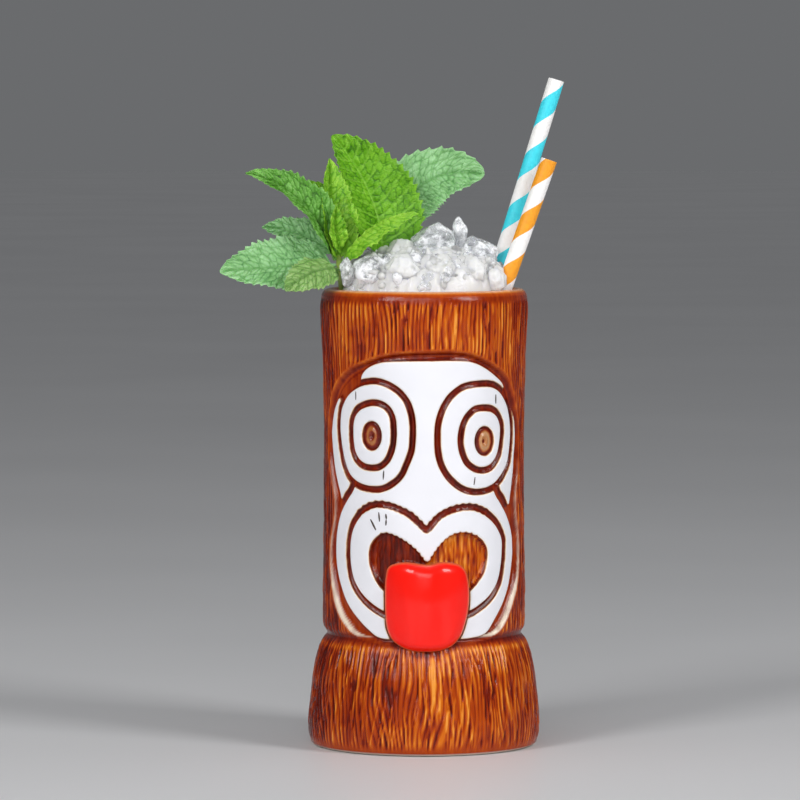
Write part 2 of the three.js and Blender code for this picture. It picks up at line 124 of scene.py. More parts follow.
def even(loop, count):
    """A closed loop of points, spaced evenly again."""
    closed = np.vstack([loop, loop[:1]])
    run = np.r_[0, np.cumsum(np.linalg.norm(np.diff(closed, axis=0), axis=1))]
    at = np.linspace(0, run[-1], count, endpoint=False)
    return np.c_[np.interp(at, run, closed[:, 0]), np.interp(at, run, closed[:, 1])]


def ellipse(centre, half, count=120):
    t = np.linspace(0, 2 * math.pi, count, endpoint=False)
    return np.c_[centre[0] + half[0] * np.cos(t), centre[1] + half[1] * np.sin(t)]


# Each eye by the middle of the carved lines round its ring and its iris, the middle of its pupil, and
# how bright the pupil's glaze is.
EYES = {
    "left": {
        "ring": smooth_loop([
            (-18.3, 140.8), (-13.6, 139.5), (-9.4, 136.7), (-6.8, 133.5), (-5.2, 129.3), (-4.5, 124.6),
            (-4.5, 119.9), (-5.0, 114.7), (-6.8, 109.9), (-8.9, 105.4), (-12.2, 102.2), (-15.9, 100.3),
            (-19.7, 99.9), (-24.4, 100.8), (-27.3, 102.6), (-29.2, 105.0), (-30.6, 109.0), (-31.6, 113.7),
            (-32.3, 119.5), (-32.5, 124.4), (-31.9, 130.3), (-29.4, 135.8), (-26.5, 138.5), (-23.0, 140.2),
        ], 160),
        "iris": smooth_loop([
            (-19.7, 132.6), (-23.0, 131.7), (-25.4, 130.1), (-27.0, 127.6), (-27.7, 124.4), (-27.8, 121.1),
            (-27.6, 117.3), (-27.0, 113.6), (-25.6, 110.6), (-23.0, 108.5), (-19.7, 108.0), (-16.9, 108.6),
            (-14.5, 110.6), (-12.9, 113.5), (-12.0, 116.8), (-11.7, 120.1), (-11.7, 123.8), (-12.3, 127.6),
            (-13.8, 130.4), (-16.4, 132.2),
        ], 120),
        "pupil": (-19.9, 120.1), "bright": 0.7,
    },
    "right": {
        "ring": smooth_loop([
            (22.8, 139.7), (25.9, 139.3), (28.7, 137.5), (30.6, 134.7), (32.0, 131.3), (32.8, 127.3),
            (33.2, 123.0), (33.2, 118.7), (32.8, 114.1), (32.1, 109.4), (30.8, 105.9), (29.0, 103.1),
            (26.8, 100.8), (23.3, 99.2), (20.0, 98.9), (16.6, 99.4), (13.8, 100.6), (11.0, 102.8),
            (8.6, 105.4), (6.2, 109.9), (5.1, 114.7), (4.9, 119.9), (5.2, 124.6), (6.4, 129.3),
            (8.4, 133.2), (11.2, 136.4), (14.8, 138.7), (19.0, 139.6),
        ], 160),
        "iris": smooth_loop([
            (22.8, 130.6), (25.6, 130.0), (27.7, 128.3), (28.9, 125.9), (29.5, 123.0), (29.4, 119.0),
            (28.9, 115.3), (28.0, 111.8), (26.3, 108.9), (24.2, 107.4), (21.4, 107.0), (18.8, 107.8),
            (16.4, 109.7), (14.8, 112.6), (13.9, 115.9), (13.7, 118.7), (14.0, 122.0), (15.0, 125.3),
            (16.6, 128.0), (19.0, 130.1),
        ], 120),
        "pupil": (22.7, 118.0), "bright": 1.3,
    },
}
PUPIL_RING = (3.6, 5.5)  # half sizes of the pupil's hole in the iris
PUPIL_DOT = (1.5, 2.7)

FIELD = smooth_loop([
    (0.0, 151.8), (10.0, 151.9), (16.0, 151.2), (20.0, 149.9), (26.6, 146.0), (30.0, 143.2),
    (32.3, 139.1), (34.2, 131.5), (35.6, 123.8), (35.8, 114.0), (35.6, 105.0), (34.8, 97.0), (34.9, 89.0),
    (35.7, 82.0), (35.8, 72.0), (35.1, 63.0), (33.4, 56.5), (31.0, 50.0), (27.0, 44.6), (19.0, 42.6),
    (0.0, 42.2), (-18.0, 42.4), (-25.5, 43.8), (-29.4, 47.6), (-32.7, 53.4), (-34.5, 61.5), (-35.5, 72.0),
    (-35.2, 80.0), (-34.0, 88.5), (-34.0, 95.5), (-35.4, 103.5), (-36.3, 112.0), (-36.4, 120.0),
    (-35.7, 129.0), (-34.2, 136.2), (-31.6, 141.2), (-27.4, 145.2), (-21.0, 148.3), (-15.0, 150.4),
    (-8.0, 151.4),
], 300)
MASK = smooth_loop([
    (-23.9, 142.6), (-22.3, 145.0), (-19.6, 146.8), (-16.0, 148.0), (-8.0, 148.5), (2.0, 148.6),
    (11.0, 148.7), (17.0, 148.2), (21.4, 146.6), (26.6, 142.8), (30.2, 138.0), (27.0, 128.0),
    (24.0, 112.0), (26.6, 98.4), (28.9, 94.2), (31.2, 89.6), (33.0, 83.4), (33.6, 76.0), (33.1, 68.8),
    (31.9, 61.8), (29.6, 55.3), (26.7, 50.0), (23.4, 45.2), (19.2, 43.8), (0.0, 43.6), (-17.2, 43.8),
    (-20.6, 46.0), (-24.9, 50.1), (-28.9, 55.4), (-31.6, 62.0), (-33.2, 69.0), (-33.6, 77.0),
    (-33.0, 84.6), (-31.4, 91.0), (-29.1, 95.6), (-26.9, 99.4), (-24.0, 112.0), (-25.0, 128.0),
], 300)
TEMPLES = {
    "left": smooth_loop([
        (-32.2, 133.8), (-33.9, 130.1), (-34.75, 125.3), (-35.1, 120.6), (-34.9, 115.8), (-34.5, 111.1),
        (-33.9, 106.4), (-33.0, 101.8), (-31.9, 97.2), (-31.4, 95.2), (-30.3, 97.4), (-28.0, 101.7),
        (-30.0, 118.0), (-31.4, 130.0),
    ], 140),
    "right": smooth_loop([
        (32.3, 132.6), (33.4, 129.0), (34.2, 125.2), (34.5, 120.5), (34.4, 115.8), (34.0, 111.1),
        (33.8, 106.4), (33.3, 101.7), (32.8, 97.0), (32.0, 92.9), (30.6, 96.2), (28.5, 99.8),
        (30.0, 118.0), (31.6, 129.0),
    ], 140),
}
MOUTH_LINE = smooth_loop([
    (0.8, 85.0), (3.0, 87.3), (5.5, 89.9), (8.4, 91.6), (11.8, 92.8), (15.2, 93.3), (18.2, 93.2),
    (21.2, 92.2), (24.1, 90.4), (26.7, 87.9), (28.7, 84.7), (30.1, 80.7), (30.2, 76.0), (29.8, 70.4),
    (28.9, 65.4), (27.2, 61.2), (24.6, 57.8), (21.4, 55.2), (17.6, 53.0), (9.0, 50.4), (0.0, 49.6),
    (-9.0, 50.4), (-15.4, 52.7), (-19.4, 55.0), (-22.9, 57.8), (-25.7, 61.2), (-27.6, 65.2),
    (-28.6, 70.0), (-28.9, 75.6), (-28.7, 80.6), (-27.9, 84.5), (-26.5, 87.8), (-24.6, 90.6),
    (-22.2, 92.7), (-19.2, 94.0), (-16.2, 94.3), (-12.6, 93.7), (-9.2, 92.4), (-5.6, 90.6), (-2.2, 87.6),
], 300)
MOUTH = smooth_loop([
    (1.2, 72.6), (3.4, 75.6), (6.6, 79.8), (9.6, 82.3), (13.0, 83.6), (16.5, 83.5), (19.8, 82.2),
    (22.4, 79.9), (23.8, 76.6), (23.8, 72.8), (22.6, 68.4), (20.0, 64.4), (15.0, 60.0), (0.0, 56.0),
    (-13.0, 60.0), (-18.1, 65.0), (-20.2, 69.8), (-21.0, 75.0), (-20.2, 79.2), (-18.0, 82.1),
    (-15.0, 83.5), (-11.4, 82.7), (-7.4, 80.6), (-3.0, 77.1),
], 240)
TONGUE = smooth_loop([
    (1.5, 72.0), (6.1, 73.0), (9.6, 72.7), (13.0, 71.8), (15.4, 69.4), (16.4, 65.6), (16.8, 60.0),
    (16.4, 54.4), (15.3, 49.4), (13.6, 44.9), (10.8, 41.5), (7.0, 39.7), (1.6, 39.0), (-4.4, 39.3),
    (-8.8, 40.8), (-12.0, 43.3), (-13.8, 46.8), (-14.6, 52.0), (-14.8, 60.0), (-14.5, 67.0),
    (-13.4, 70.9), (-10.4, 72.4), (-6.4, 72.9), (-2.0, 72.4),
], 240)


def notched(loop, low, high, pitch, depth):
    """The loop with small chisel notches pushed outwards along its upper edge, between two x values."""
    run = np.r_[0, np.cumsum(np.linalg.norm(np.diff(loop, axis=0), axis=1))]
    ahead = np.roll(loop, -1, axis=0) - np.roll(loop, 1, axis=0)
    outward = np.c_[ahead[:, 1], -ahead[:, 0]] / np.linalg.norm(ahead, axis=1)[:, None]
    area = np.sum(loop[:, 0] * np.roll(loop[:, 1], -1) - np.roll(loop[:, 0], -1) * loop[:, 1])
    teeth = np.clip(1.6 * np.sin(2 * math.pi * run / pitch) - 0.5, 0, 1) * depth
    middle = loop[:, 1].mean()
    upper = (loop[:, 0] > low) & (loop[:, 0] < high) & (loop[:, 1] > middle)
    return loop + np.sign(area) * outward * (teeth * upper)[:, None]


# ------------------------------------------------------------------ the unrolled wall: s round it, z up it

S_AXIS = np.arange(-66.0, 66.01, GRID_STEP)
Z_AXIS = np.arange(34.0, 156.01, GRID_STEP)
S_GRID, Z_GRID = np.meshgrid(S_AXIS, Z_AXIS)


def unroll(loop):
    """Front view [x, z] to the unrolled wall [s, z]."""
    x = np.clip(loop[:, 0] / WALL_R, -0.999, 0.999)
    return np.c_[WALL_R * np.arcsin(x), loop[:, 1]]


def inside(loop):
    """Signed distance to an unrolled loop over the whole grid, positive inside it."""
    p = np.c_[S_GRID.ravel(), Z_GRID.ravel()]
    a = loop
    b = np.roll(loop, -1, axis=0)
    best = np.full(len(p), 1e9)
    crossings = np.zeros(len(p), int)
    for (ax, ay), (bx, by) in zip(a, b):
        dx, dy = bx - ax, by - ay
        px, py = p[:, 0] - ax, p[:, 1] - ay
        t = np.clip((px * dx + py * dy) / (dx * dx + dy * dy + 1e-12), 0, 1)
        best = np.minimum(best, (px - t * dx) ** 2 + (py - t * dy) ** 2)
        if ay != by:
            spans = (ay > p[:, 1]) != (by > p[:, 1])
            crossings += spans & (p[:, 0] < ax + (p[:, 1] - ay) * dx / dy)
    sign = np.where(crossings % 2 == 1, 1.0, -1.0)
    return (sign * np.sqrt(best)).reshape(S_GRID.shape)


def sample(field, s, z):
    """A grid field at any points, by bilinear interpolation. Outside the grid it takes the edge's value."""
    step = S_AXIS[1] - S_AXIS[0]
    fs = np.clip((s - S_AXIS[0]) / step, 0, len(S_AXIS) - 1.001)
    fz = np.clip((z - Z_AXIS[0]) / step, 0, len(Z_AXIS) - 1.001)
    i, j = fs.astype(int), fz.astype(int)
    u, v = fs - i, fz - j
    return (
        field[j, i] * (1 - u) * (1 - v) + field[j, i + 1] * u * (1 - v)
        + field[j + 1, i] * (1 - u) * v + field[j + 1, i + 1] * u * v
    )


def contours(field, level):
    """The closed loops on which a grid field has a value, linked from cell to cell."""
    above = field > level
    links = {}

    def crossing(j, i, across):
        """The point where the level crosses a grid edge, starting at (j, i)."""
        j2, i2 = (j, i + 1) if across else (j + 1, i)
        a, b = field[j, i], field[j2, i2]
        t = (level - a) / (b - a)
        return (
            S_AXIS[i] + t * (S_AXIS[i2] - S_AXIS[i]),
            Z_AXIS[j] + t * (Z_AXIS[j2] - Z_AXIS[j]),
        )

    mixed = above[:-1, :-1].astype(int) + above[:-1, 1:] + above[1:, :-1] + above[1:, 1:]
    for j, i in zip(*np.where((mixed > 0) & (mixed < 4))):
        edges = [(j, i, True), (j, i + 1, False), (j + 1, i, True), (j, i, False)]
        corners = [above[j, i], above[j, i + 1], above[j + 1, i + 1], above[j + 1, i]]
        cut = [e for e, (p, q) in zip(edges, [(0, 1), (1, 2), (3, 2), (0, 3)]) if corners[p] != corners[q]]
        for a, b in zip(cut[::2], cut[1::2]):
            links.setdefault(a, []).append(b)
            links.setdefault(b, []).append(a)
    loops = []
    left = set(links)
    while left:
        start = left.pop()
        chain = [start]
        here = start
        while True:
            onward = [e for e in links[here] if e in left]
            if not onward:
                break
            here = onward[0]
            left.discard(here)
            chain.append(here)
        if len(chain) > 8:
            loops.append(np.array([crossing(*e) for e in chain]))
    return loops


def wrapped(s, z, r):
    """A point of the unrolled wall at a radius, in metres."""
    return np.c_[r * np.sin(s / WALL_R), -r * np.cos(s / WALL_R), z] * MM


# ------------------------------------------------------------------ meshes

def link(name, data):
    """A new object for a mesh, a light or a camera, in the scene."""
    obj = bpy.data.objects.new(name, data)
    bpy.context.scene.collection.objects.link(obj)
    return obj


def point_values(mesh, values):
    """Float attributes on a mesh's points."""
    for key, numbers in values.items():
        layer = mesh.attributes.new(key, "FLOAT", "POINT")
        layer.data.foreach_set("value", np.asarray(numbers, np.float32))


def make_object(name, vertices, faces, attributes=None, sharp_degrees=None):
    """A smooth-shaded mesh object from arrays in metres, with float attributes on its points."""
    mesh = bpy.data.meshes.new(name)
    mesh.from_pydata([tuple(v) for v in vertices], [], [tuple(int(i) for i in f) for f in faces])
    point_values(mesh, attributes or {})
    mesh.validate()
    mesh.polygons.foreach_set("use_smooth", np.ones(len(mesh.polygons), bool))
    if sharp_degrees is not None:
        mesh.set_sharp_from_angle(angle=math.radians(sharp_degrees))
    return link(name, mesh)


def finish(piece, slot_name, body, material, *nodes):
    """The piece gets its material, rides on its body and stands for the CAD nodes."""
    piece.data.materials.append(material)
    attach(piece, body)
    if nodes:
        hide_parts(*nodes)


def lattice_faces(rows, columns, closed_rows=False, closed_columns=False):
    """Quads between the neighbours of a rows x columns lattice of points."""
    j = np.arange(rows if closed_rows else rows - 1)
    i = np.arange(columns if closed_columns else columns - 1)
    jj, ii = np.meshgrid(j, i, indexing="ij")
    j2, i2 = (jj + 1) % rows, (ii + 1) % columns
    corners = (jj * columns + ii, jj * columns + i2, j2 * columns + i2, j2 * columns + ii)
    return np.stack([c.ravel() for c in corners], axis=1)


def capped_faces(rings, around):
    """The closed skin over a stack of rings of points: quads between them, and a cap at each end."""
    faces = lattice_faces(rings, around, closed_columns=True).tolist()
    faces.append(list(range(around))[::-1])
    faces.append(list(range((rings - 1) * around, rings * around)))
    return faces


def circle_angles(count):
    return np.linspace(0, 2 * math.pi, count, endpoint=False)


def value_noise(x, y, seed, wrap_x=None):
    """Smooth random values in -1..1 over a plane, one knot per unit. wrap_x closes it after that many."""
    table = np.random.default_rng(seed).uniform(-1, 1, (256, 256))
    xi, yi = np.floor(x).astype(int), np.floor(y).astype(int)
    u, v = x - xi, y - yi
    u, v = u * u * (3 - 2 * u), v * v * (3 - 2 * v)
    x0, x1 = (xi % wrap_x, (xi + 1) % wrap_x) if wrap_x else (xi % 256, (xi + 1) % 256)
    y0, y1 = yi % 256, (yi + 1) % 256
    low = table[y0, x0] * (1 - u) + table[y0, x1] * u
    high = table[y1, x0] * (1 - u) + table[y1, x1] * u
    return low * (1 - v) + high * v


def smoothstep(low, high, x):
    t = np.clip((x - low) / (high - low), 0, 1)
    return t * t * (3 - 2 * t)


def bell(x, middle, width):
    """1 at the middle, and 1/e at width from it."""
    return np.exp(-((x - middle) / width) ** 2)


def quarter_round(t):
    """1 at 0, falling like a quarter circle to 0 at 1."""
    return np.sqrt(np.clip(1 - t * t, 0, 1))


# ------------------------------------------------------------------ materials

def node_material(name):
    material = bpy.data.materials.new(name)
    material.use_nodes = True
    tree = material.node_tree
    return material, tree, tree.nodes["Principled BSDF"]


def feed(tree, node, inputs):
    """A node's inputs: one that is given a socket is linked to it, and any other is set."""
    for key, value in inputs.items():
        if isinstance(value, bpy.types.NodeSocket):
            tree.links.new(value, node.inputs[key])
        else:
            node.inputs[key].default_value = value


def add(tree, kind, inputs=None, **settings):
    node = tree.nodes.new(kind)
    for key, value in settings.items():
        setattr(node, key, value)
    feed(tree, node, inputs or {})
    return node


def attribute(tree, name):
    return add(tree, "ShaderNodeAttribute", attribute_name=name).outputs["Fac"]


def maths(tree, operation, a, b=0.0, c=0.0, clamp=False):
    node = add(tree, "ShaderNodeMath", {0: a, 1: b, 2: c}, operation=operation, use_clamp=clamp)
    return node.outputs[0]


def scaled(tree, value, factor, plus):
    """value x factor + plus."""
    return maths(tree, "MULTIPLY_ADD", value, factor, plus)


def ramp(tree, fac, *stops):
    """A colour ramp from (position, linear colour or grey level) stops."""
    node = add(tree, "ShaderNodeValToRGB", {"Fac": fac})
    elements = node.color_ramp.elements
    while len(elements) < len(stops):
        elements.new(0.5)
    for element, (position, colour) in zip(elements, stops):
        element.position = position
        element.color = (*colour, 1) if isinstance(colour, tuple) else (colour, colour, colour, 1)
    return node.outputs["Color"]


def blend_colour(tree, fac, a, b, mode="MIX"):
    node = add(tree, "ShaderNodeMix", data_type="RGBA", blend_type=mode)
    fac, a, b = (v if isinstance(v, (float, bpy.types.NodeSocket)) else (*v, 1) for v in (fac, a, b))
    feed(tree, node, {0: fac, 6: a, 7: b})  # a colour mix has its factor at 0 and its colours at 6 and 7
    return node.outputs[2]


def object_space(tree):
    return add(tree, "ShaderNodeTexCoord").outputs["Object"]


def noise_at(tree, scale, detail=3.0, stretch=None, roughness=0.5):
    """Noise over the object's own space, with its scale per metre and an optional stretch."""
    vector = object_space(tree)
    if stretch:
        vector = add(tree, "ShaderNodeMapping", {"Vector": vector, "Scale": stretch}).outputs[0]
    inputs = {"Vector": vector, "Scale": scale, "Detail": detail, "Roughness": roughness}
    return add(tree, "ShaderNodeTexNoise", inputs).outputs["Fac"]


def cell_edges(tree, scale):
    """Irregular cells, by the distance from their edges, with their scale per metre."""
    inputs = {"Vector": object_space(tree), "Scale": scale}
    return add(tree, "ShaderNodeTexVoronoi", inputs, feature="DISTANCE_TO_EDGE").outputs["Distance"]


def bump(tree, height, distance, strength=1.0, normal=None):
    inputs = {"Height": height, "Distance": distance, "Strength": strength}
    if normal is not None:
        inputs["Normal"] = normal
    return add(tree, "ShaderNodeBump", inputs).outputs["Normal"]


# Linear colours of the glazes.
DARK_GLAZE = (0.075, 0.0035, 0.0002)
RED_BROWN = (0.205, 0.0120, 0.0006)
SIENNA = (0.410, 0.0520, 0.0015)
AMBER = (0.620, 0.150, 0.0060)
HONEY = (0.800, 0.300, 0.0400)
TAN = (0.520, 0.270, 0.130)
CREAM = (0.840, 0.710, 0.560)
WHITE = (0.820, 0.820, 0.865)
BISQUE = (0.640, 0.570, 0.480)


def bark_material():
    """Transparent amber glaze over carved clay: it pools dark in the cuts and breaks pale on edges."""
    material, tree, shader = node_material("bark_glaze")
    blotches = noise_at(tree, 60.0, 3.0, stretch=(1, 1, 0.30))
    streaks = noise_at(tree, 900.0, 4.0, stretch=(1, 1, 0.05), roughness=0.55)
    pooled = scaled(tree, blotches, 0.34, attribute(tree, "glaze"))
    pooled = maths(tree, "SUBTRACT", scaled(tree, streaks, 0.30, pooled), 0.32, clamp=True)
    glaze = ramp(
        tree, pooled, (0.0, DARK_GLAZE), (0.22, RED_BROWN), (0.50, SIENNA), (0.80, AMBER), (1.0, HONEY),
    )
    glaze = blend_colour(tree, attribute(tree, "edge"), glaze, CREAM)
    bare = attribute(tree, "bare")
    normal = bump(tree, streaks, 0.00020, 0.4)
    feed(tree, shader, {
        "Base Color": blend_colour(tree, bare, glaze, BISQUE),
        "Roughness": scaled(tree, blotches, 0.10, scaled(tree, bare, 0.6, 0.13)),
        "Specular IOR Level": 0.24,
        "Normal": bump(tree, noise_at(tree, 1500.0, 3.0), 0.00012, 0.5, normal),
    })
    return material


def white_material():
    """Matt-satin white glaze, cream and then brown where it thins out towards a carved line."""
    material, tree, shader = node_material("white_glaze")
    edge = scaled(tree, noise_at(tree, 260.0, 3.0), 0.45, attribute(tree, "edge_mm"))
    fringe = ramp(
        tree, maths(tree, "SUBTRACT", edge, 0.22), (0.0, RED_BROWN), (0.09, (0.36, 0.14, 0.05)),
        (0.17, TAN), (0.27, CREAM), (0.45, (0.83, 0.79, 0.76)), (0.70, WHITE),
    )
    cloud = noise_at(tree, 60.0, 2.0)
    tint = ramp(tree, cloud, (0.3, 0.965), (0.7, 1.0))
    normal = bump(tree, noise_at(tree, 300.0, 3.0), 0.00018, 0.30)
    feed(tree, shader, {
        "Base Color": blend_colour(tree, 1.0, fringe, tint, "MULTIPLY"),
        "Roughness": scaled(tree, cloud, 0.14, 0.34),
        "Normal": bump(tree, noise_at(tree, 2200.0, 2.0), 0.00003, 0.35, normal),
    })
    return material


def red_material():
    """Bright glossy red enamel over the tongue, mottled, with a thin brown rim."""
    material, tree, shader = node_material("red_glaze")
    cloud = noise_at(tree, 75.0, 3.0)
    red = ramp(tree, cloud, (0.25, (0.94, 0.006, 0.001)), (0.7, (1.0, 0.010, 0.003)))
    inward = ramp(tree, maths(tree, "MULTIPLY", attribute(tree, "edge_mm"), 0.5), (0.05, 0.0), (0.45, 1.0))
    feed(tree, shader, {
        "Base Color": blend_colour(tree, inward, (0.72, 0.13, 0.05), red),
        "Roughness": scaled(tree, cloud, 0.12, 0.16),
        "Specular IOR Level": 0.22,
        "Coat Weight": 0.3,
        "Coat Roughness": 0.10,
        "Normal": bump(tree, noise_at(tree, 330.0, 4.0, stretch=(1, 1, 0.6)), 0.00022, 0.30),
    })
    return material


def pupil_material():
    """Caramel glaze in the eye's centre: dark round the rim and in the little carved dot."""
    material, tree, shader = node_material("pupil_glaze")
    mottled = scaled(tree, noise_at(tree, 420.0, 3.0), 0.35, attribute(tree, "glaze"))
    mottled = maths(tree, "SUBTRACT", mottled, 0.17, clamp=True)
    feed(tree, shader, {
        "Base Color": ramp(
            tree, mottled, (0.0, DARK_GLAZE), (0.25, RED_BROWN), (0.50, (0.44, 0.15, 0.035)), (0.85, TAN),
        ),
        "Roughness": scaled(tree, mottled, 0.12, 0.16),
        "Normal": bump(tree, noise_at(tree, 700.0, 2.0), 0.0001, 0.4),
    })
    return material


def mark_material():
    """Thin dark brush strokes of underglaze on the white."""
    material, tree, shader = node_material("brush_marks")
    fade = noise_at(tree, 900.0, 3.0)
    feed(tree, shader, {
        "Base Color": ramp(tree, fade, (0.3, (0.012, 0.008, 0.007)), (0.75, (0.075, 0.038, 0.022))),
        "Roughness": scaled(tree, fade, 0.2, 0.3),
    })
    return material


def straw_material(name, stripe, stripe_dark):
    """Paper wound in a spiral, with one printed stripe and one white one."""
    material, tree, shader = node_material(name)
    place = add(tree, "ShaderNodeSeparateXYZ", {0: object_space(tree)})
    x, y, z = (place.outputs[k] for k in "XYZ")
    turn = maths(tree, "DIVIDE", maths(tree, "ARCTAN2", y, x), 2 * math.pi)
    climb = maths(tree, "DIVIDE", z, STRIPE_PITCH * MM)
    phase = maths(tree, "FRACT", maths(tree, "SUBTRACT", climb, turn))
    bleed = noise_at(tree, 1500.0, 3.0)
    phase = scaled(tree, bleed, 0.02, phase)
    printed = ramp(tree, phase, (0.0, 0.0), (0.010, 0.0), (0.022, 1.0), (0.508, 1.0), (0.520, 0.0))
    fibres = noise_at(tree, 700.0, 4.0, roughness=0.7)
    ink = ramp(tree, fibres, (0.3, stripe_dark), (0.65, stripe))
    paper = ramp(tree, fibres, (0.3, (0.88, 0.86, 0.84)), (0.65, (0.95, 0.94, 0.93)))
    outer = blend_colour(tree, printed, paper, ink)
    feed(tree, shader, {
        "Base Color": blend_colour(tree, attribute(tree, "lining"), outer, (0.74, 0.73, 0.70)),
        "Roughness": scaled(tree, fibres, 0.25, 0.42),
        "Normal": bump(tree, noise_at(tree, 2600.0, 4.0), 0.00005, 0.5),
    })
    return material


def leaf_material(name, deep, mid, light, vein_colour, underside):
    """Mint: quilted cells, darker along the net between them as painted shade in its furrows, and a lighter
    serrated margin.
    """
    material, tree, shader = node_material(name)
    vein, net = attribute(tree, "vein"), attribute(tree, "net")
    cell = noise_at(tree, 700.0, 3.0)
    mottle = noise_at(tree, 120.0, 3.0)
    level = scaled(tree, cell, 0.35, maths(tree, "MULTIPLY", mottle, 0.55))
    # Painted shade: the level drops along the net, in the furrows between the cells.
    level = scaled(tree, net, -0.24, maths(tree, "ADD", level, 0.16))
    blade = ramp(tree, level, (0.28, deep), (0.52, mid), (0.76, light))
    blade = blend_colour(tree, maths(tree, "MULTIPLY", vein, 0.8, clamp=True), blade, vein_colour)
    blade = blend_colour(tree, maths(tree, "MULTIPLY", attribute(tree, "margin"), 0.6), blade, light)
    back = blend_colour(tree, maths(tree, "MULTIPLY", vein, 0.7, clamp=True), underside, light)
    normal = bump(tree, maths(tree, "MINIMUM", cell_edges(tree, 1100.0), 0.25), 0.0006, 0.5)
    feed(tree, shader, {
        "Base Color": blend_colour(tree, attribute(tree, "under"), blade, back),
        "Roughness": scaled(tree, cell, 0.2, 0.32),
        "Specular IOR Level": 0.30,
        "Subsurface Weight": 0.12,
        "Subsurface Radius": (0.4, 1.0, 0.15),
        "Subsurface Scale": 0.0008,
        "Normal": bump(tree, cell, 0.0002, 0.4, normal),
    })
    return material


def stem_material():
    material, tree, shader = node_material("mint_stem")
    fibre = noise_at(tree, 900.0, 3.0, stretch=(1, 1, 0.08))
    feed(tree, shader, {
        "Base Color": ramp(tree, fibre, (0.3, (0.22, 0.33, 0.045)), (0.7, (0.45, 0.55, 0.14))),
        "Roughness": scaled(tree, fibre, 0.2, 0.3),
        "Subsurface Weight": 0.3,
        "Subsurface Radius": (0.6, 1.0, 0.2),
        "Subsurface Scale": 0.001,
        "Normal": bump(tree, fibre, 0.0002, 0.5),
    })
    return material


def packed_ice_material():
    """Crushed ice frozen together: white, wet and a little see-through between the grains."""
    material, tree, shader = node_material("packed_ice")
    grain = noise_at(tree, 300.0, 5.0, roughness=0.62)
    feed(tree, shader, {
        "Base Color": ramp(
            tree, grain, (0.26, (0.83, 0.84, 0.95)), (0.40, (0.94, 0.945, 1.0)),
            (0.60, (0.975, 0.975, 1.0)),
        ),
        "Roughness": ramp(tree, noise_at(tree, 600.0, 3.0), (0.35, 0.03), (0.65, 0.16)),
        "IOR": ICE_IOR,
        "Transmission Weight": 0.12,
        "Subsurface Weight": 0.75,
        "Subsurface Radius": (0.95, 0.95, 1.1),
        "Subsurface Scale": 0.009,
        "Normal": bump(tree, grain, 0.0008, 0.45, bump(tree, cell_edges(tree, 420.0), 0.0006, 0.35)),
    })
    return material


def clear_ice_material():
    """Wet clear ice with frosted patches in it."""
    material, tree, shader = node_material("clear_ice")
    frost = noise_at(tree, 210.0, 5.0, roughness=0.68)
    feed(tree, shader, {
        "Base Color": ramp(tree, frost, (0.4, (0.96, 0.98, 1.0)), (0.62, (0.97, 0.98, 1.0))),
        "Roughness": ramp(tree, frost, (0.46, 0.015), (0.62, 0.26)),
        "Transmission Weight": ramp(tree, frost, (0.44, 0.86), (0.58, 0.20)),
        "IOR": ICE_IOR,
        "Normal": bump(tree, noise_at(tree, 260.0, 2.0), 0.0010, 0.35),
    })
    return material


# ------------------------------------------------------------------ the mug

def relief_fields():
    """Signed distances on the unrolled wall, positive inside: the outlines, and the plates cut from them."""
    half = LINE_WIDTH / 2
    raw = {
        "field": inside(unroll(FIELD)),
        "mask": inside(unroll(MASK)),
        "line": inside(unroll(notched(MOUTH_LINE, -25, 25, 2.3, 0.34))),
        "mouth": inside(unroll(notched(MOUTH, -17, 20, 2.1, 0.42))),
        "tongue": inside(unroll(TONGUE)),
    }
    for side, eye in EYES.items():
        raw[f"ring_{side}"] = inside(unroll(eye["ring"]))
        raw[f"iris_{side}"] = inside(unroll(eye["iris"]))
        raw[f"pupil_{side}"] = inside(unroll(ellipse(eye["pupil"], PUPIL_RING)))
        raw[f"temple_{side}"] = inside(unroll(TEMPLES[side]))

    def less(field, *cutters):
        for cutter in (*cutters, raw["tongue"] + 0.5):
            field = np.minimum(field, -cutter)
        return field

    made = {
        "face_mask": less(
            raw["mask"], raw["ring_left"] + half, raw["ring_right"] + half, raw["line"] + half,
        ),
        "lips": less(raw["line"] - half, raw["mouth"]),
    }
    for side in EYES:
        ring, iris, pupil = (raw[f"{part}_{side}"] for part in ("ring", "iris", "pupil"))
        made[f"temple_{side}"] = less(raw[f"temple_{side}"], ring + half, raw["mask"] + JAW_LINE)
        made[f"eye_ring_{side}"] = less(ring - half, iris + half)
        made[f"iris_{side}"] = less(iris - half, pupil)
        made[f"pupil_{side}"] = less(pupil - PUPIL_LINE)
    return raw, made


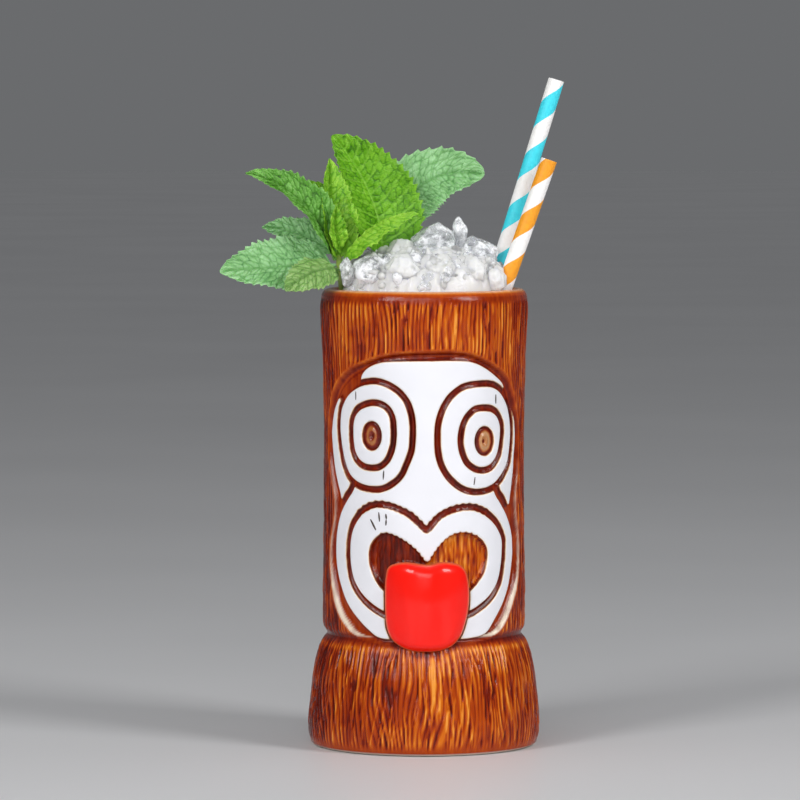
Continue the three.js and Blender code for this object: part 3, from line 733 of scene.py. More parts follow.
def wall_profile():
    """The mug's section as [radius, z] rows from the foot's centre up the outside, over the lip and
    down to the floor's centre, and where the outside starts and ends in it."""
    outside = np.array([
        (42.6, 0.35), (43.2, 1.0), (43.9, 3.6), (44.1, 8.0), (43.85, 13.0), (43.3, 18.0), (42.7, 23.5),
        (42.1, 28.6), (41.4, 32.0), (40.6, 35.0), (39.7, 38.0), (38.9, 40.0), (38.2, 41.2),
        (37.3, WAIST_Z - 0.7), (37.0, WAIST_Z + 0.2), (37.6, WAIST_Z + 1.3), (38.3, WAIST_Z + 2.4),
        (38.5, 48.0), (38.5, 60.0), (38.05, 84.0), (38.0, 124.0), (38.6, 148.0), (39.2, 160.0),
        (39.4, 166.0), (39.45, 168.6), (39.4, 170.6), (39.2, 172.2),
    ])
    levels = np.concatenate([
        np.arange(1.0, 36.0, 1.05), np.arange(36.0, 47.0, 0.5), np.arange(47.0, 154.0, 0.76),
        np.arange(154.0, 168.0, 1.0), np.arange(168.0, 171.6, 0.5),
    ])
    body = np.c_[np.interp(levels, outside[:, 1], outside[:, 0]), levels]
    body[:, 0] = np.convolve(np.pad(body[:, 0], 1, "edge"), (0.25, 0.5, 0.25), "valid")
    lip = [
        (39.15, 172.1), (38.95, 172.7), (38.6, 173.3), (38.1, 173.8), (37.45, 174.2), (36.8, 174.42),
        (36.2, MUG_HEIGHT), (35.7, 174.35), (35.3, 173.9), (35.0, 173.1), (34.9, 172.0),
    ]
    inner = [(34.8, 168.0), (34.4, 150), (34.2, 130), (33.9, 100), (33.6, 60), (33.3, 30), (33.2, 16)]
    floor = [(32.6, 12.6), (31.0, 10.4), (27.0, 9.1), (14.0, 9.0), (0.5, 9.0)]
    foot = [(0.5, 0.0), (20.0, 0.0), (38.0, 0.0), (41.6, 0.0), (42.5, 0.3)]
    return np.vstack([foot, body, lip, inner, floor]), len(foot), len(foot) + len(body)


GROOVES = {
    "seed": 11, "count": 1100, "lengths": (6, 22), "half_widths": (0.40, 0.80), "depths": (0.14, 0.40),
}
RIDGES = {
    "seed": 12, "count": 2000, "lengths": (6, 24), "half_widths": (0.28, 0.50), "depths": (0.08, 0.25),
}


def chisel_marks(s, z, seed, count, lengths, half_widths, depths):
    """Long thin marks up the log: how deep (or high) each point of the outside is marked, in mm."""
    marked = np.zeros((len(z), len(s)))
    girth = 2 * math.pi * WALL_R
    rng = np.random.default_rng(seed)
    for _ in range(count):
        middle = rng.uniform(-girth / 2, girth / 2)
        low = rng.uniform(-8, MUG_HEIGHT - 8)
        length = rng.uniform(*lengths)
        half_width = rng.uniform(*half_widths)
        depth = rng.uniform(*depths)
        lean = rng.normal(0, 0.10 if low < WAIST_Z else 0.045)
        rows = np.where((z > low) & (z < low + length))[0]
        if not len(rows):
            continue
        along = (z[rows] - low) / length
        centre = middle + lean * (z[rows] - low - length / 2)
        off = (s[None, :] - centre[:, None] + girth / 2) % girth - girth / 2
        across = np.clip(1 - (off / half_width) ** 2, 0, 1)
        mark = depth * across * np.minimum(1, 3.5 * np.sin(math.pi * along)[:, None])
        marked[rows] = np.maximum(marked[rows], mark)
    return marked


FACE_DEGREES = 82  # to each side of the front: the wall's grid is finer there
FACE_COLUMNS = 320
BACK_COLUMNS = 210
OFF_FACE = -9.0  # a signed distance where it isn't looked up, far outside every outline
LOOKED_UP_DEGREES = 88  # outlines are looked up this far to each side, and between these heights
FACE_HEIGHTS = (36, 155)
TONGUE_HEIGHTS = (36, 80)
MOUTH_HEIGHTS = (50, 90)


class Wall:
    """The mug's surface as a grid: the rows of its section by the angles round it, in mm. field, tongue
    and white say how far inside those outlines each point is, and hole is 1 in the open mouth."""

    def __init__(self, raw, relief):
        rows, first, last = wall_profile()
        edge = FACE_DEGREES
        front = np.linspace(-edge, edge, FACE_COLUMNS, endpoint=False)
        back = np.linspace(edge, 360 - edge, BACK_COLUMNS, endpoint=False)
        self.theta = np.radians(np.concatenate([front, back]))
        self.signed = ((self.theta + math.pi) % (2 * math.pi) - math.pi)[None, :]
        self.s, self.z = np.meshgrid(WALL_R * self.signed[0], rows[:, 1])
        self.turns = self.signed / (2 * math.pi) + 0.5 + 0 * self.z
        self.plain_radius = np.repeat(rows[:, :1], len(self.theta), axis=1)
        row = np.arange(len(rows))[:, None]
        self.outside = np.where((row >= first) & (row < last), 1.0, 0.0)
        self.past_outside = row >= last
        self.field = self.on_front(raw["field"], *FACE_HEIGHTS)
        self.tongue = self.on_front(raw["tongue"], *TONGUE_HEIGHTS)
        self.white = self.on_front(np.maximum.reduce(list(relief.values())), *FACE_HEIGHTS)
        self.hole = smoothstep(-0.3, 0.7, self.on_front(raw["mouth"], *MOUTH_HEIGHTS))

    def on_front(self, field, low, high):
        """A signed distance at the wall's points in front, between two heights, and OFF_FACE at others."""
        here = (np.abs(self.signed) < math.radians(LOOKED_UP_DEGREES)) & (self.z > low) & (self.z < high)
        return np.where(here, sample(field, self.s, self.z), OFF_FACE)

    def noise(self, knots, height, seed):
        """Noise that closes round the log, with so many knots round it and one every height mm up it."""
        return value_noise(self.turns * knots, self.z / height, seed, wrap_x=knots)


def bark_pattern(wall):
    """The bark over the wall's grid: chisel marks, and wavering ribs with dark troughs between them and
    golden, broken crests. calm is 1 on plain bark and 0 at the rim, the waist and the face."""
    s, z = wall.s[0], wall.z[:, 0]
    grooves, ridges = chisel_marks(s, z, **GROOVES), chisel_marks(s, z, **RIDGES)
    loose = 1 + 0.5 * (wall.z < WAIST_Z)
    warp = 1.2 * wall.noise(16, 26.0, 31) * loose + 0.40 * wall.noise(60, 15.0, 32) * loose
    place = wall.turns * RIBS + warp
    across = 2 * np.abs(place - np.floor(place) - 0.5)
    calm = wall.outside * smoothstep(1.2, 5.0, wall.z) * (1 - smoothstep(169.0, 171.2, wall.z))
    calm = calm * (1 - bell(wall.z, WAIST_Z, 2.4))
    long_gouges = value_noise(wall.s / 0.8 + 60, wall.z / 9.0, 21)
    short_gouges = value_noise(wall.s / 0.5 + 60, wall.z / 2.2, 22)
    return SimpleNamespace(
        ridges=ridges, grooves=grooves * (ridges < 0.05), across=across,
        trough=smoothstep(0.55, 1.0, across),
        ripe=bell(across, 0.10, 0.26) * smoothstep(-0.25, 0.25, wall.noise(90, 7.0, 33)),
        worn=wall.noise(30, 12.0, 34), grain=wall.noise(230, 7.0, 3), fine=wall.noise(120, 3.1, 5),
        calm=calm * (1 - smoothstep(-1.3, -0.5, wall.field)),
        gouges=long_gouges + 0.5 * short_gouges,
    )


def wall_radius(wall, bark):
    """The bark's relief, the carved field with a fillet at every white plate, and the open mouth."""
    relief = 0.07 * bark.grain + 0.05 * bark.fine + (bark.ridges - bark.grooves)
    ribbed = 0.16 * (1 - bark.across ** 2) - 0.26 * bark.trough
    radius = wall.plain_radius + bark.calm * (relief + ribbed)
    radius = radius + wall.outside * 0.20 * wall.noise(14, 30.0, 9)
    # The bevel down from the bark is wide at the sides and steep under the brow.
    below_brow = 1 - smoothstep(134, 147, wall.z)
    below_jaw = 1 - smoothstep(60, 70, wall.z)
    well = smoothstep(-0.2, 0.9 + 0.4 * below_brow + 1.3 * below_jaw, wall.field) * wall.outside
    radius = radius + 0.16 * bell(wall.field, -0.5, 0.4) * wall.outside
    fillet = 0.8 * np.clip(1 + wall.white / 0.9, 0, 1) ** 2
    floor = FACE_FLOOR_R + 0.10 * bark.fine + fillet
    floor = floor - wall.hole * (FACE_FLOOR_R - MOUTH_FLOOR_R + 0.40 * bark.gouges)
    carved = well * (1 - smoothstep(0.4, 1.4, wall.tongue))  # the wall stays whole behind the tongue
    return radius * (1 - carved) + floor * carved


def bark_glaze(wall, bark):
    """The bark's glaze, from 0 where it pools dark to 1 where it is honey-coloured, with painted shade and
    painted highlights in it.
    """
    z = wall.z
    glaze = 0.46 + 1.6 * bark.ridges - bark.grooves + 0.06 * bark.grain + 0.05 * bark.fine
    glaze = glaze + 0.36 * bark.ripe - (0.34 + 0.12 * bark.worn) * bark.trough + 0.10 * bark.worn
    # The glaze is a little lighter towards +X, and painted shade darkens it towards the sides, where the log
    # turns away.
    sideways = np.sin(wall.signed)
    glaze = glaze + 0.10 * sideways - 0.30 * smoothstep(0.80, 0.98, np.abs(sideways))
    glaze = glaze * bark.calm + (0.46 + 0.05 * bark.grain) * (1 - bark.calm)
    glaze = glaze - 0.16 * smoothstep(168.5, 171.0, z) * (1 - smoothstep(172.2, 172.9, z))
    # Lighter on the lip, where the glaze thins on its edge and a painted highlight lies along it; darker in
    # the waist's groove.
    glaze = glaze + 0.40 * smoothstep(173.1, 173.9, z) - 0.38 * bell(z, WAIST_Z, 1.8)
    # A golden line on the base's shoulder: the glaze thins on that edge, and a painted highlight lies on it
    # where it faces up.
    glaze = glaze + 0.34 * bell(z, 39.4, 1.2) * (0.75 + 0.25 * bark.fine)
    # Painted shade: the glaze is darkened under the tongue, where it stands out over the top of the base.
    return glaze - 0.40 * bell(wall.tongue, -0.6, 1.25) * (z < WAIST_Z) * (0.9 + 0.6 * bark.worn)


def wall_glaze(wall, bark):
    """The same over the whole mug: rippled under the brow, dark beside the white plates and in the left
    half of the mouth."""
    field = wall.field
    in_field = smoothstep(-0.4, 0.2, field)
    ripples = 0.13 * np.cos(2 * math.pi * field / 1.7) * (1 - smoothstep(2.5, 4.0, field))
    floor = 0.30 + 0.07 * bark.fine + 0.06 * bark.grain + ripples * smoothstep(120, 134, wall.z)
    glaze = bark_glaze(wall, bark) * (1 - in_field) + floor * in_field
    glaze = glaze + 0.22 * bell(field, -0.45, 0.35) * wall.outside * (0.8 + 0.5 * bark.fine)
    glaze = glaze - 0.24 * (1 - smoothstep(0.35, 1.5, -wall.white)) * in_field
    lit_side = smoothstep(-1.0, 3.0, wall.s)
    in_mouth = 0.13 + 0.47 * lit_side + (0.20 + 0.26 * lit_side) * bark.gouges
    glaze = np.where(wall.hole > 0.5, in_mouth, glaze)
    glaze = np.where(wall.past_outside & (wall.z < 172), 0.62, glaze)
    return np.clip(glaze, 0, 1)


def cream_edge(wall, bark):
    """Where the glaze breaks cream: a line up the field's sides, a crescent by the jaw, and the lip, where
    it is also a painted highlight.
    """
    band = 0.40 + 1.05 * (1 - smoothstep(54, 70, wall.z))
    edge = smoothstep(-0.20, 0.05, wall.field) * (1 - smoothstep(band - 0.2, band + 0.1, wall.field))
    edge = edge * (1 - 0.55 * smoothstep(60, 80, wall.z)) * (1 - smoothstep(98, 112, wall.z))
    edge = edge * smoothstep(43.4, 44.6, wall.z) * smoothstep(19, 24, np.abs(wall.s)) * wall.outside
    edge = np.clip(edge * (0.85 + 0.3 * bark.fine), 0, 1)
    # On the lip the cream is partly a painted highlight.
    return np.maximum(edge, 0.35 * smoothstep(173.7, 174.3, wall.z))


def mug_body(raw, relief, material):
    wall = Wall(raw, relief)
    bark = bark_pattern(wall)
    radius = wall_radius(wall, bark)
    vertices = np.stack([radius * np.sin(wall.theta), -radius * np.cos(wall.theta), wall.z], axis=2)
    bare = (1 - smoothstep(0.25, 0.9, wall.z)) * ~wall.past_outside
    body = make_object("mug", vertices.reshape(-1, 3) * MM, capped_faces(*radius.shape), {
        "glaze": wall_glaze(wall, bark).ravel(), "edge": cream_edge(wall, bark).ravel(),
        "bare": bare.ravel(),
    })
    finish(body, "bark_glaze", "mug", material, "mug_body")


def fill_outline(field, levels, pitch):
    """Points [s, z] and triangles over a field's inside: loops near its edge, then a grid, in mm."""
    points, edges = [], []
    for level in levels:
        for loop in contours(field, level + 1e-4):
            length = np.linalg.norm(np.diff(loop, axis=0), axis=1).sum()
            count = max(12, int(length / (0.5 + 0.35 * level)))
            start = len(points)
            points.extend(even(loop, count).tolist())
            if level == 0.0:
                edges.extend([(start + k, start + (k + 1) % count) for k in range(count)])
    inner = np.argwhere(field > levels[-1] + pitch * 0.45)
    step = max(1, round(pitch / GRID_STEP))
    inner = inner[(inner[:, 0] % step == 0) & (inner[:, 1] % step == 0)]
    points.extend(zip(S_AXIS[inner[:, 1]], Z_AXIS[inner[:, 0]]))
    filled = geometry.delaunay_2d_cdt([Vector(p) for p in points], edges, [], 0, 1e-5)
    at = np.array([tuple(v) for v in filled[0]])
    triangles = np.array(filled[2])
    centre = at[triangles].mean(axis=1)
    triangles = triangles[sample(field, centre[:, 0], centre[:, 1]) > 0.0]
    a, b, c = (at[triangles[:, k]] for k in range(3))
    area = (b[:, 0] - a[:, 0]) * (c[:, 1] - a[:, 1]) - (c[:, 0] - a[:, 0]) * (b[:, 1] - a[:, 1])
    triangles = np.where((area > 0)[:, None], triangles, triangles[:, ::-1])
    triangles = triangles[np.abs(area) > 1e-9]
    used = np.unique(triangles)
    renumber = np.full(len(at), -1)
    renumber[used] = np.arange(len(used))
    return at[used], renumber[triangles]


def relief_piece(name, field, profile, floor_r, pitch=1.6, levels=(0.0, 0.14, 0.34, 0.62, 1.0)):
    """A closed plate on the wall where the field is positive. profile gives its radius at a depth
    inside the edge, and it goes down to floor_r at the edge."""
    at, triangles = fill_outline(field, levels, pitch)
    n = len(at)
    depth = np.maximum(sample(field, at[:, 0], at[:, 1]), 0)
    sides = dict.fromkeys(side for i, j, k in triangles for side in ((i, j), (j, k), (k, i)))
    rim = [(p, q) for p, q in sides if (q, p) not in sides]
    top = wrapped(at[:, 0], at[:, 1], profile(depth, at))
    bottom = wrapped(at[:, 0], at[:, 1], np.full(n, floor_r))
    faces = [tuple(t) for t in triangles]
    faces += [tuple(n + v for v in t[::-1]) for t in triangles]
    faces += [(q, p, n + p, n + q) for p, q in rim]
    return make_object(name, np.vstack([top, bottom]), faces, {"edge_mm": np.r_[depth, np.zeros(n)]})


def rounded(depth, at):
    """A white plate's radius: softly wavy, with a rounded edge."""
    waves = 0.07 * value_noise(at[:, 0] / 6.5 + 40, at[:, 1] / 7.5 + 40, 31)
    edge = np.clip(1 - depth / PLATE_EDGE_R, 0, 1)
    return FACE_R + waves - PLATE_EDGE_DROP * (1 - quarter_round(edge))


def from_pupil(eye, x, z):
    """How far places of the front view are from a pupil's middle, in sizes of its carved dot."""
    return np.hypot((x - eye["pupil"][0]) / PUPIL_DOT[0], (z - eye["pupil"][1]) / PUPIL_DOT[1])


def pupil_piece(side, field, material):
    """The pupil: a low boss with a raised oval ring in it and a carved centre."""
    eye = EYES[side]

    def height(_, at):
        away = from_pupil(eye, WALL_R * np.sin(at[:, 0] / WALL_R), at[:, 1])
        return FACE_R - 0.75 + 0.55 * bell(away, 0.75, 0.28) - 0.35 * bell(away, 0, 0.35)

    piece = relief_piece(f"pupil_{side}_glaze", field, height, PLATE_FLOOR_R, pitch=0.4)
    co = np.array([v.co for v in piece.data.vertices]) / MM
    away = from_pupil(eye, co[:, 0], co[:, 2])
    glaze = 0.06 + 0.62 * eye["bright"] * bell(away, 1.05, 0.42)
    glaze = glaze + (0.85 * eye["bright"] - 0.5) * bell(away, 0, 0.62)
    on_top = np.arange(len(co)) < len(co) // 2
    point_values(piece.data, {"glaze": np.clip(glaze, 0, 1) * on_top})
    finish(piece, "pupil_glaze", "mug", material, f"pupil_{side}")


def face_pieces(made, materials):
    for name, field in made.items():
        if name.startswith("pupil"):
            pupil_piece(name.split("_")[1], field, materials["pupil_glaze"])
        else:
            piece = relief_piece(name + "_glaze", field, rounded, PLATE_FLOOR_R)
            finish(piece, "white_glaze", "mug", materials["white_glaze"], name)


def tongue_piece(raw, material):
    """The tongue: a pillow that stands out of the mouth and rolls over the top of the base."""
    def height(depth, at):
        x = WALL_R * np.sin(at[:, 0] / WALL_R)
        across = np.clip((x - TONGUE_MIDDLE[0]) / TONGUE_HALF[0], -1, 1)
        below = np.clip((TONGUE_MIDDLE[1] - at[:, 1]) / TONGUE_HALF[1], -1, 1)
        crown = (0.20 + 0.80 * (1 - across ** 2)) * (1 - 0.30 * below ** 2)
        edge = np.clip(1 - depth / TONGUE_EDGE_R, 0, 1)
        return TONGUE_SEAT_R + TONGUE_RISE * crown * quarter_round(edge)

    piece = relief_piece(
        "tongue_glaze", raw["tongue"], height, TONGUE_FLOOR_R, pitch=0.8, levels=TONGUE_LEVELS,
    )
    # The boss rises straight towards the front, so what stands out is moved along -Y.
    co = np.array([v.co for v in piece.data.vertices]) / MM
    theta = np.arctan2(co[:, 0], -co[:, 1])
    r = np.hypot(co[:, 0], co[:, 1])
    seat = np.minimum(r, TONGUE_SEAT_R)
    co[:, 0] = seat * np.sin(theta)
    co[:, 1] = -seat * np.cos(theta) - np.maximum(r - TONGUE_SEAT_R, 0)
    piece.data.vertices.foreach_set("co", (co * MM).astype(np.float32).ravel())
    piece.data.update()
    finish(piece, "red_glaze", "mug", material, "tongue")


# Brush strokes on the white: two ends in the front view and a half width, in mm.
BRUSH_MARKS = {
    "eye_left_top": ((-25.8, 136.6), (-25.8, 133.4), 0.34),
    "eye_left_low": ((-15.3, 107.2), (-15.5, 103.8), 0.38),
    "eye_right_top": ((26.9, 135.4), (26.9, 132.0), 0.36),
    "eye_right_low": ((19.0, 104.6), (18.6, 101.6), 0.34),
    "lip_outer": ((-20.3, 88.6), (-18.3, 84.6), 0.50),
    "lip_middle": ((-17.2, 91.4), (-16.9, 87.9), 0.44),
    "lip_inner_top": ((-14.5, 90.9), (-14.3, 88.8), 0.50),
    "lip_inner_low": ((-14.4, 88.7), (-14.5, 86.5), 0.44),
}
MARK_LIFT = 0.14


def brush_marks(material):
    """Each mark is a thin tapered dab of glaze lying on the white."""
    rings = 9
    section = ((-1, -MARK_LIFT), (-0.5, MARK_LIFT), (0.5, MARK_LIFT), (1, -MARK_LIFT))
    points, radii, faces = [], [], []
    for start, end, half in BRUSH_MARKS.values():
        first, last = unroll(np.array([start, end]))
        along = last - first
        side = np.array([-along[1], along[0]]) / np.linalg.norm(along)
        base = len(points)
        faces += [[base + corner for corner in face] for face in capped_faces(rings, len(section))]
        for t in np.arange(rings) / (rings - 1):
            width = half * math.sin(math.pi * (0.08 + 0.84 * t)) ** 0.6
            for offset, lift in section:
                points.append(first + t * along + side * width * offset)
                radii.append(FACE_R + 0.02 + lift)
    s, z = np.array(points).T
    marks = make_object("brush_marks", wrapped(s, z, np.array(radii)), faces)
    finish(marks, "white_glaze", "mug", material)


# ------------------------------------------------------------------ straws

# Each straw's lean towards +X in degrees, and where its stripes start, in turns about its axis.
STRAWS = {
    "blue": {"node": "straw_blue", "lean": 17.0, "phase": 0.25},
    "orange": {"node": "straw_orange", "lean": 19.3, "phase": 0.92},
}


def straw_piece(colour, material):
    """A wound paper tube with a seam pressed along each ribbon's edge, hollow and open at both ends."""
    spec = STRAWS[colour]
    lean = math.radians(spec["lean"])
    low, high = (Vector(c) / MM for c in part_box(spec["node"]))
    end_x, end_z = high.x - STRAW_R * math.cos(lean), high.z - STRAW_R * math.sin(lean)
    top = Vector((end_x, (low.y + high.y) / 2, end_z))
    around, along = 48, 260
    middle = np.linspace(0.3, STRAW_LENGTH - 0.3, along)
    height = np.r_[0, 0.12, middle, STRAW_LENGTH - 0.12, STRAW_LENGTH]
    a, h = np.meshgrid(circle_angles(around), height)
    phase = ((h - STRAW_LENGTH) / STRIPE_PITCH - a / (2 * math.pi)) % 0.5
    seam = 0.05 * bell(np.minimum(phase, 0.5 - phase), 0, 0.012)
    chamfer = 0.12 * np.clip(1 - np.minimum(h, STRAW_LENGTH - h) / 0.15, 0, 1)
    outer = STRAW_R - 0.03 - seam - chamfer
    a2, h2 = np.meshgrid(circle_angles(around), height[::-20])
    inner = np.full(a2.shape, STRAW_R - STRAW_WALL)
    r, aa, hh = np.vstack([outer, inner]), np.vstack([a, a2]), np.vstack([h, h2])
    vertices = np.stack([r * np.cos(aa), r * np.sin(aa), hh - STRAW_LENGTH], axis=2).reshape(-1, 3) * MM
    lining = np.vstack([np.zeros(a.shape), np.ones(a2.shape)]).ravel()
    faces = lattice_faces(len(r), around, closed_rows=True, closed_columns=True)
    piece = make_object(f"{colour}_straw", vertices, faces, {"lining": lining}, sharp_degrees=50)
    turn = Vector((math.sin(lean), 0, math.cos(lean))).to_track_quat("Z", "Y").to_matrix().to_4x4()
    spin = Matrix.Rotation(spec["phase"] * 2 * math.pi, 4, "Z")
    piece.matrix_world = Matrix.Translation(top * MM) @ turn @ spin
    finish(piece, f"{colour}_paper", f"{colour}_straw", material, spec["node"])


# ------------------------------------------------------------------ mint

# Each stem's lower end, its length and its radius.
STEMS = {
    "left": {"foot": (-28.6, -5.0, 140.0), "length": 47.5, "radius": 1.25},
    "right": {"foot": (-11.5, 4.0, 146.0), "length": 42.0, "radius": 1.2},
}
STEM_AXIS = Vector((-4, -1.5, 48)).normalized()

# Each leaf by its midrib (base, bend, tip), the way its upper face looks, its width, how far its halves
# fold up about the midrib in degrees, how many teeth, its material, and how far its margin cups up as a
# share of the width. A smaller blunt gives fuller ends, and a smaller low a widest place nearer the tip.
LEAVES = {
    "crown": {
        "rib": ((-15.8, 3.8, 184), (-15.8, 12, 211.5), (-35.4, 8, 232.6)), "face": (0.35, -0.93, 0.1),
        "width": 33, "fold": 30, "teeth": 19, "look": "bright", "cup": 0.10, "blunt": 0.62, "low": 0.62,
    },
    "right": {
        "rib": ((-13.4, 4.4, 188.4), (-8, 24, 223), (23.2, 13, 217.5)), "face": (-0.1, -1, 0.35),
        "width": 25, "fold": 8, "teeth": 15, "look": "dusty", "cup": 0.05, "blunt": 0.48,
    },
    "back_tip": {
        "rib": ((-16.6, 4.8, 188.0), (-30, 19, 205), (-48, 16, 215.6)), "face": (0, -1, 0.3),
        "width": 13, "fold": 14, "teeth": 13, "look": "bright", "cup": 0.05, "blunt": 0.8,
    },
    "upper_left": {
        "rib": ((-34.0, -7.6, 185.4), (-42.4, -15, 212.6), (-67.6, -18, 218.5)), "face": (0.45, -0.75, 0.5),
        "width": 17.5, "fold": 30, "teeth": 20, "look": "dark", "cup": 0.04, "blunt": 0.66, "low": 0.66,
    },
    "lower_left": {
        "rib": ((-33.6, -7.6, 183.6), (-53, -17, 183.6), (-77.3, -21, 181.4)), "face": (0, -0.8, 0.6),
        "width": 24, "fold": 6, "teeth": 17, "look": "dusty", "cup": 0.06, "blunt": 0.62,
    },
    "front_left": {
        "rib": ((-32.2, -8.6, 182.0), (-42, -24.5, 184), (-52.3, -31.6, 174.7)), "face": (0.2, -0.8, 0.6),
        "width": 15, "fold": -14, "teeth": 12, "look": "pale", "cup": 0.05, "blunt": 0.6,
    },
    "back_left": {
        "rib": ((-33.6, -5.2, 187.0), (-46, 2, 197), (-62, 3, 197.5)), "face": (0, -0.8, 0.6),
        "width": 14, "fold": 10, "teeth": 13, "look": "dusty", "cup": 0.04, "blunt": 0.7,
    },
    "young_tall": {
        "rib": ((-32.2, -5.8, 184.0), (-38.0, -3.4, 204), (-36.2, -2.6, 224)), "face": (0.5, -0.85, 0),
        "width": 20, "fold": 42, "teeth": 15, "look": "young", "cup": 0.04, "blunt": 0.62, "low": 0.62,
    },
    "young_small": {
        "rib": ((-32.2, -7.6, 188.4), (-35.4, -12, 198), (-33.4, -13.6, 207)), "face": (0.4, -0.95, 0),
        "width": 10, "fold": 42, "teeth": 11, "look": "young", "cup": 0.02, "blunt": 0.8,
    },
    "front_right": {
        "rib": ((-31.8, -7.6, 184.4), (-21, -16, 202), (-2.2, -17, 203.4)), "face": (0.1, -0.5, 1),
        "width": 16, "fold": -28, "teeth": 13, "look": "young", "cup": 0.05, "blunt": 0.62, "low": 0.70,
    },
}
LEAF_THICKNESS = 0.32
STALK_SHARE = 0.05
LEAF_CELL = 2.8  # across the quilting between the side veins
VEIN_SWEEP = 0.17  # how far a side vein runs forward to the margin, as a share of the blade


def bezier(points, u):
    a, b, c = (np.array(p, float) for p in points)
    u = u[:, None]
    return (1 - u) ** 2 * a + 2 * u * (1 - u) * b + u * u * c


def leaf_cells(spec, length, blade, across_mm, curved, seed):
    """The fine net between the side veins: how far each point is from the edge of its cell, in mm."""
    rng = np.random.default_rng(seed)
    rows, columns = int(length / LEAF_CELL), int(spec["width"] / LEAF_CELL)
    gx, gy = np.meshgrid(np.arange(rows) + 0.5, np.arange(-columns // 2, columns // 2 + 1) + 0.5)
    seeds = np.c_[gx.ravel(), gy.ravel()] * LEAF_CELL + rng.uniform(-0.4, 0.4, (gx.size, 2)) * LEAF_CELL
    # Cells line up with the veins, so they lean forward towards the margin.
    place = np.stack([(blade - VEIN_SWEEP * curved ** 1.25) * length, across_mm], axis=-1)
    away = np.linalg.norm(place[:, :, None, :] - seeds[None, None, :, :], axis=-1)
    nearest = np.partition(away, 1, axis=-1)[..., :2]
    return np.abs(nearest[..., 1] - nearest[..., 0]) / 2


def leaf_frame(spec, u):
    """The midrib's points, the sideways and the upward direction along it, and its length in mm."""
    rib = bezier(spec["rib"], u)
    tangent = np.gradient(rib, axis=0)
    steps = np.linalg.norm(tangent, axis=1)
    tangent /= steps[:, None]
    side = np.cross(np.array(spec["face"], float), tangent)
    side /= np.linalg.norm(side, axis=1)[:, None]
    return rib, side, np.cross(tangent, side), steps.sum()


def leaf_half_width(spec, blade):
    """Half the width along the blade, with its teeth."""
    half = spec["width"] / 2 * np.sin(math.pi * blade ** spec.get("low", 0.78)) ** spec["blunt"]
    tooth = (blade * spec["teeth"]) % 1.0
    reach = 0.055 * spec["width"] * (tooth ** 1.6) * np.sin(math.pi * blade) ** 0.35
    return np.maximum(half + reach - 0.35, 0.55)


def leaf_surface(spec, name, length, uu, bb, across_mm, curved):
    """How high each place of the blade stands, and its painted veins and net."""
    veins = spec["teeth"] * 0.55
    sweep = VEIN_SWEEP * curved ** 1.25 * np.sin(math.pi * np.clip(bb, 0, 1)) ** 0.4
    q = (bb - sweep) * veins
    near = np.abs(q - np.round(q)) / veins * length
    on_blade = smoothstep(0.02, 0.10, bb) * (1 - smoothstep(0.95, 1.0, bb))
    vein = bell(near, 0, 0.36) * on_blade * (1 - smoothstep(0.85, 1.0, curved))
    rib_line = bell(across_mm, 0, 0.5)
    quilt = np.sqrt(np.clip(1 - (2 * (q - np.floor(q)) - 1) ** 2, 0, 1)) * on_blade
    cell_edge = leaf_cells(spec, length, bb, across_mm, curved, 70 + len(name))
    dome = np.sqrt(np.clip(cell_edge / (0.5 * LEAF_CELL), 0, 1))
    lift = 0.50 * quilt * (1 - curved ** 4) * smoothstep(0.0, 0.18, curved) + 0.60 * dome * on_blade
    lift = lift - 0.25 * rib_line * on_blade
    wave = 0.7 * np.sin(7.3 * uu * math.pi + 1.7 * len(name)) * curved ** 3 * on_blade
    painted = np.clip(vein + rib_line * on_blade, 0, 1)
    return lift, wave, rib_line, painted, 1 - smoothstep(0.0, 0.34, cell_edge)


def leaf_piece(name, spec, material):
    """A mint leaf: toothed margin, side veins that curve to it, and quilting between them."""
    along, across = 150, 73
    u = np.linspace(0, 1, along)
    rib, side, normal, length = leaf_frame(spec, u)
    blade = np.clip((u - STALK_SHARE) / (1 - STALK_SHARE), 0, 1)
    half = leaf_half_width(spec, blade)
    uu, vv = np.meshgrid(u, np.linspace(-1, 1, across), indexing="ij")
    curved, hh = np.abs(vv), half[:, None]
    lift, wave, rib_line, vein, net = leaf_surface(
        spec, name, length, uu, blade[:, None] + 0 * vv, vv * hh, curved,
    )
    fold = math.radians(spec["fold"])
    cup = spec["cup"] * spec["width"] * curved ** 2
    sideways = vv * hh * math.cos(fold)
    upward = curved * hh * math.sin(fold) + (cup + wave) * (hh / half.max()) + lift
    rib, side, normal = rib[:, None, :], side[:, None, :], normal[:, None, :]
    centre = rib + side * sideways[..., None] + normal * upward[..., None]
    thick = LEAF_THICKNESS * (1 - 0.6 * curved) + 0.9 * rib_line * (1 - uu) ** 1.2
    top = centre + normal * (0.5 * LEAF_THICKNESS)
    bottom = centre - normal * (thick - 0.5 * LEAF_THICKNESS)[..., None]
    n = along * across
    vertices = np.vstack([top.reshape(-1, 3), bottom.reshape(-1, 3)]) * MM
    upper = lattice_faces(along, across)
    faces = upper.tolist() + (upper[:, ::-1] + n).tolist()
    index = np.arange(n).reshape(along, across)
    rim = np.r_[index[0, :], index[1:, -1], index[-1, -2::-1], index[-2:0:-1, 0]]
    faces += [(int(b), int(a), int(a) + n, int(b) + n) for a, b in zip(rim, np.roll(rim, -1))]
    margin = smoothstep(0.90, 1.0, curved)
    values = {"vein": vein, "margin": margin, "net": net}
    both_sides = {key: np.tile(value.ravel(), 2) for key, value in values.items()}
    under = np.repeat([0.0, 1.0], n)
    piece = make_object(f"leaf_{name}", vertices, faces, {**both_sides, "under": under})
    finish(piece, "mint_leaf", "mint_bunch", material, f"mint_leaf_{name}")


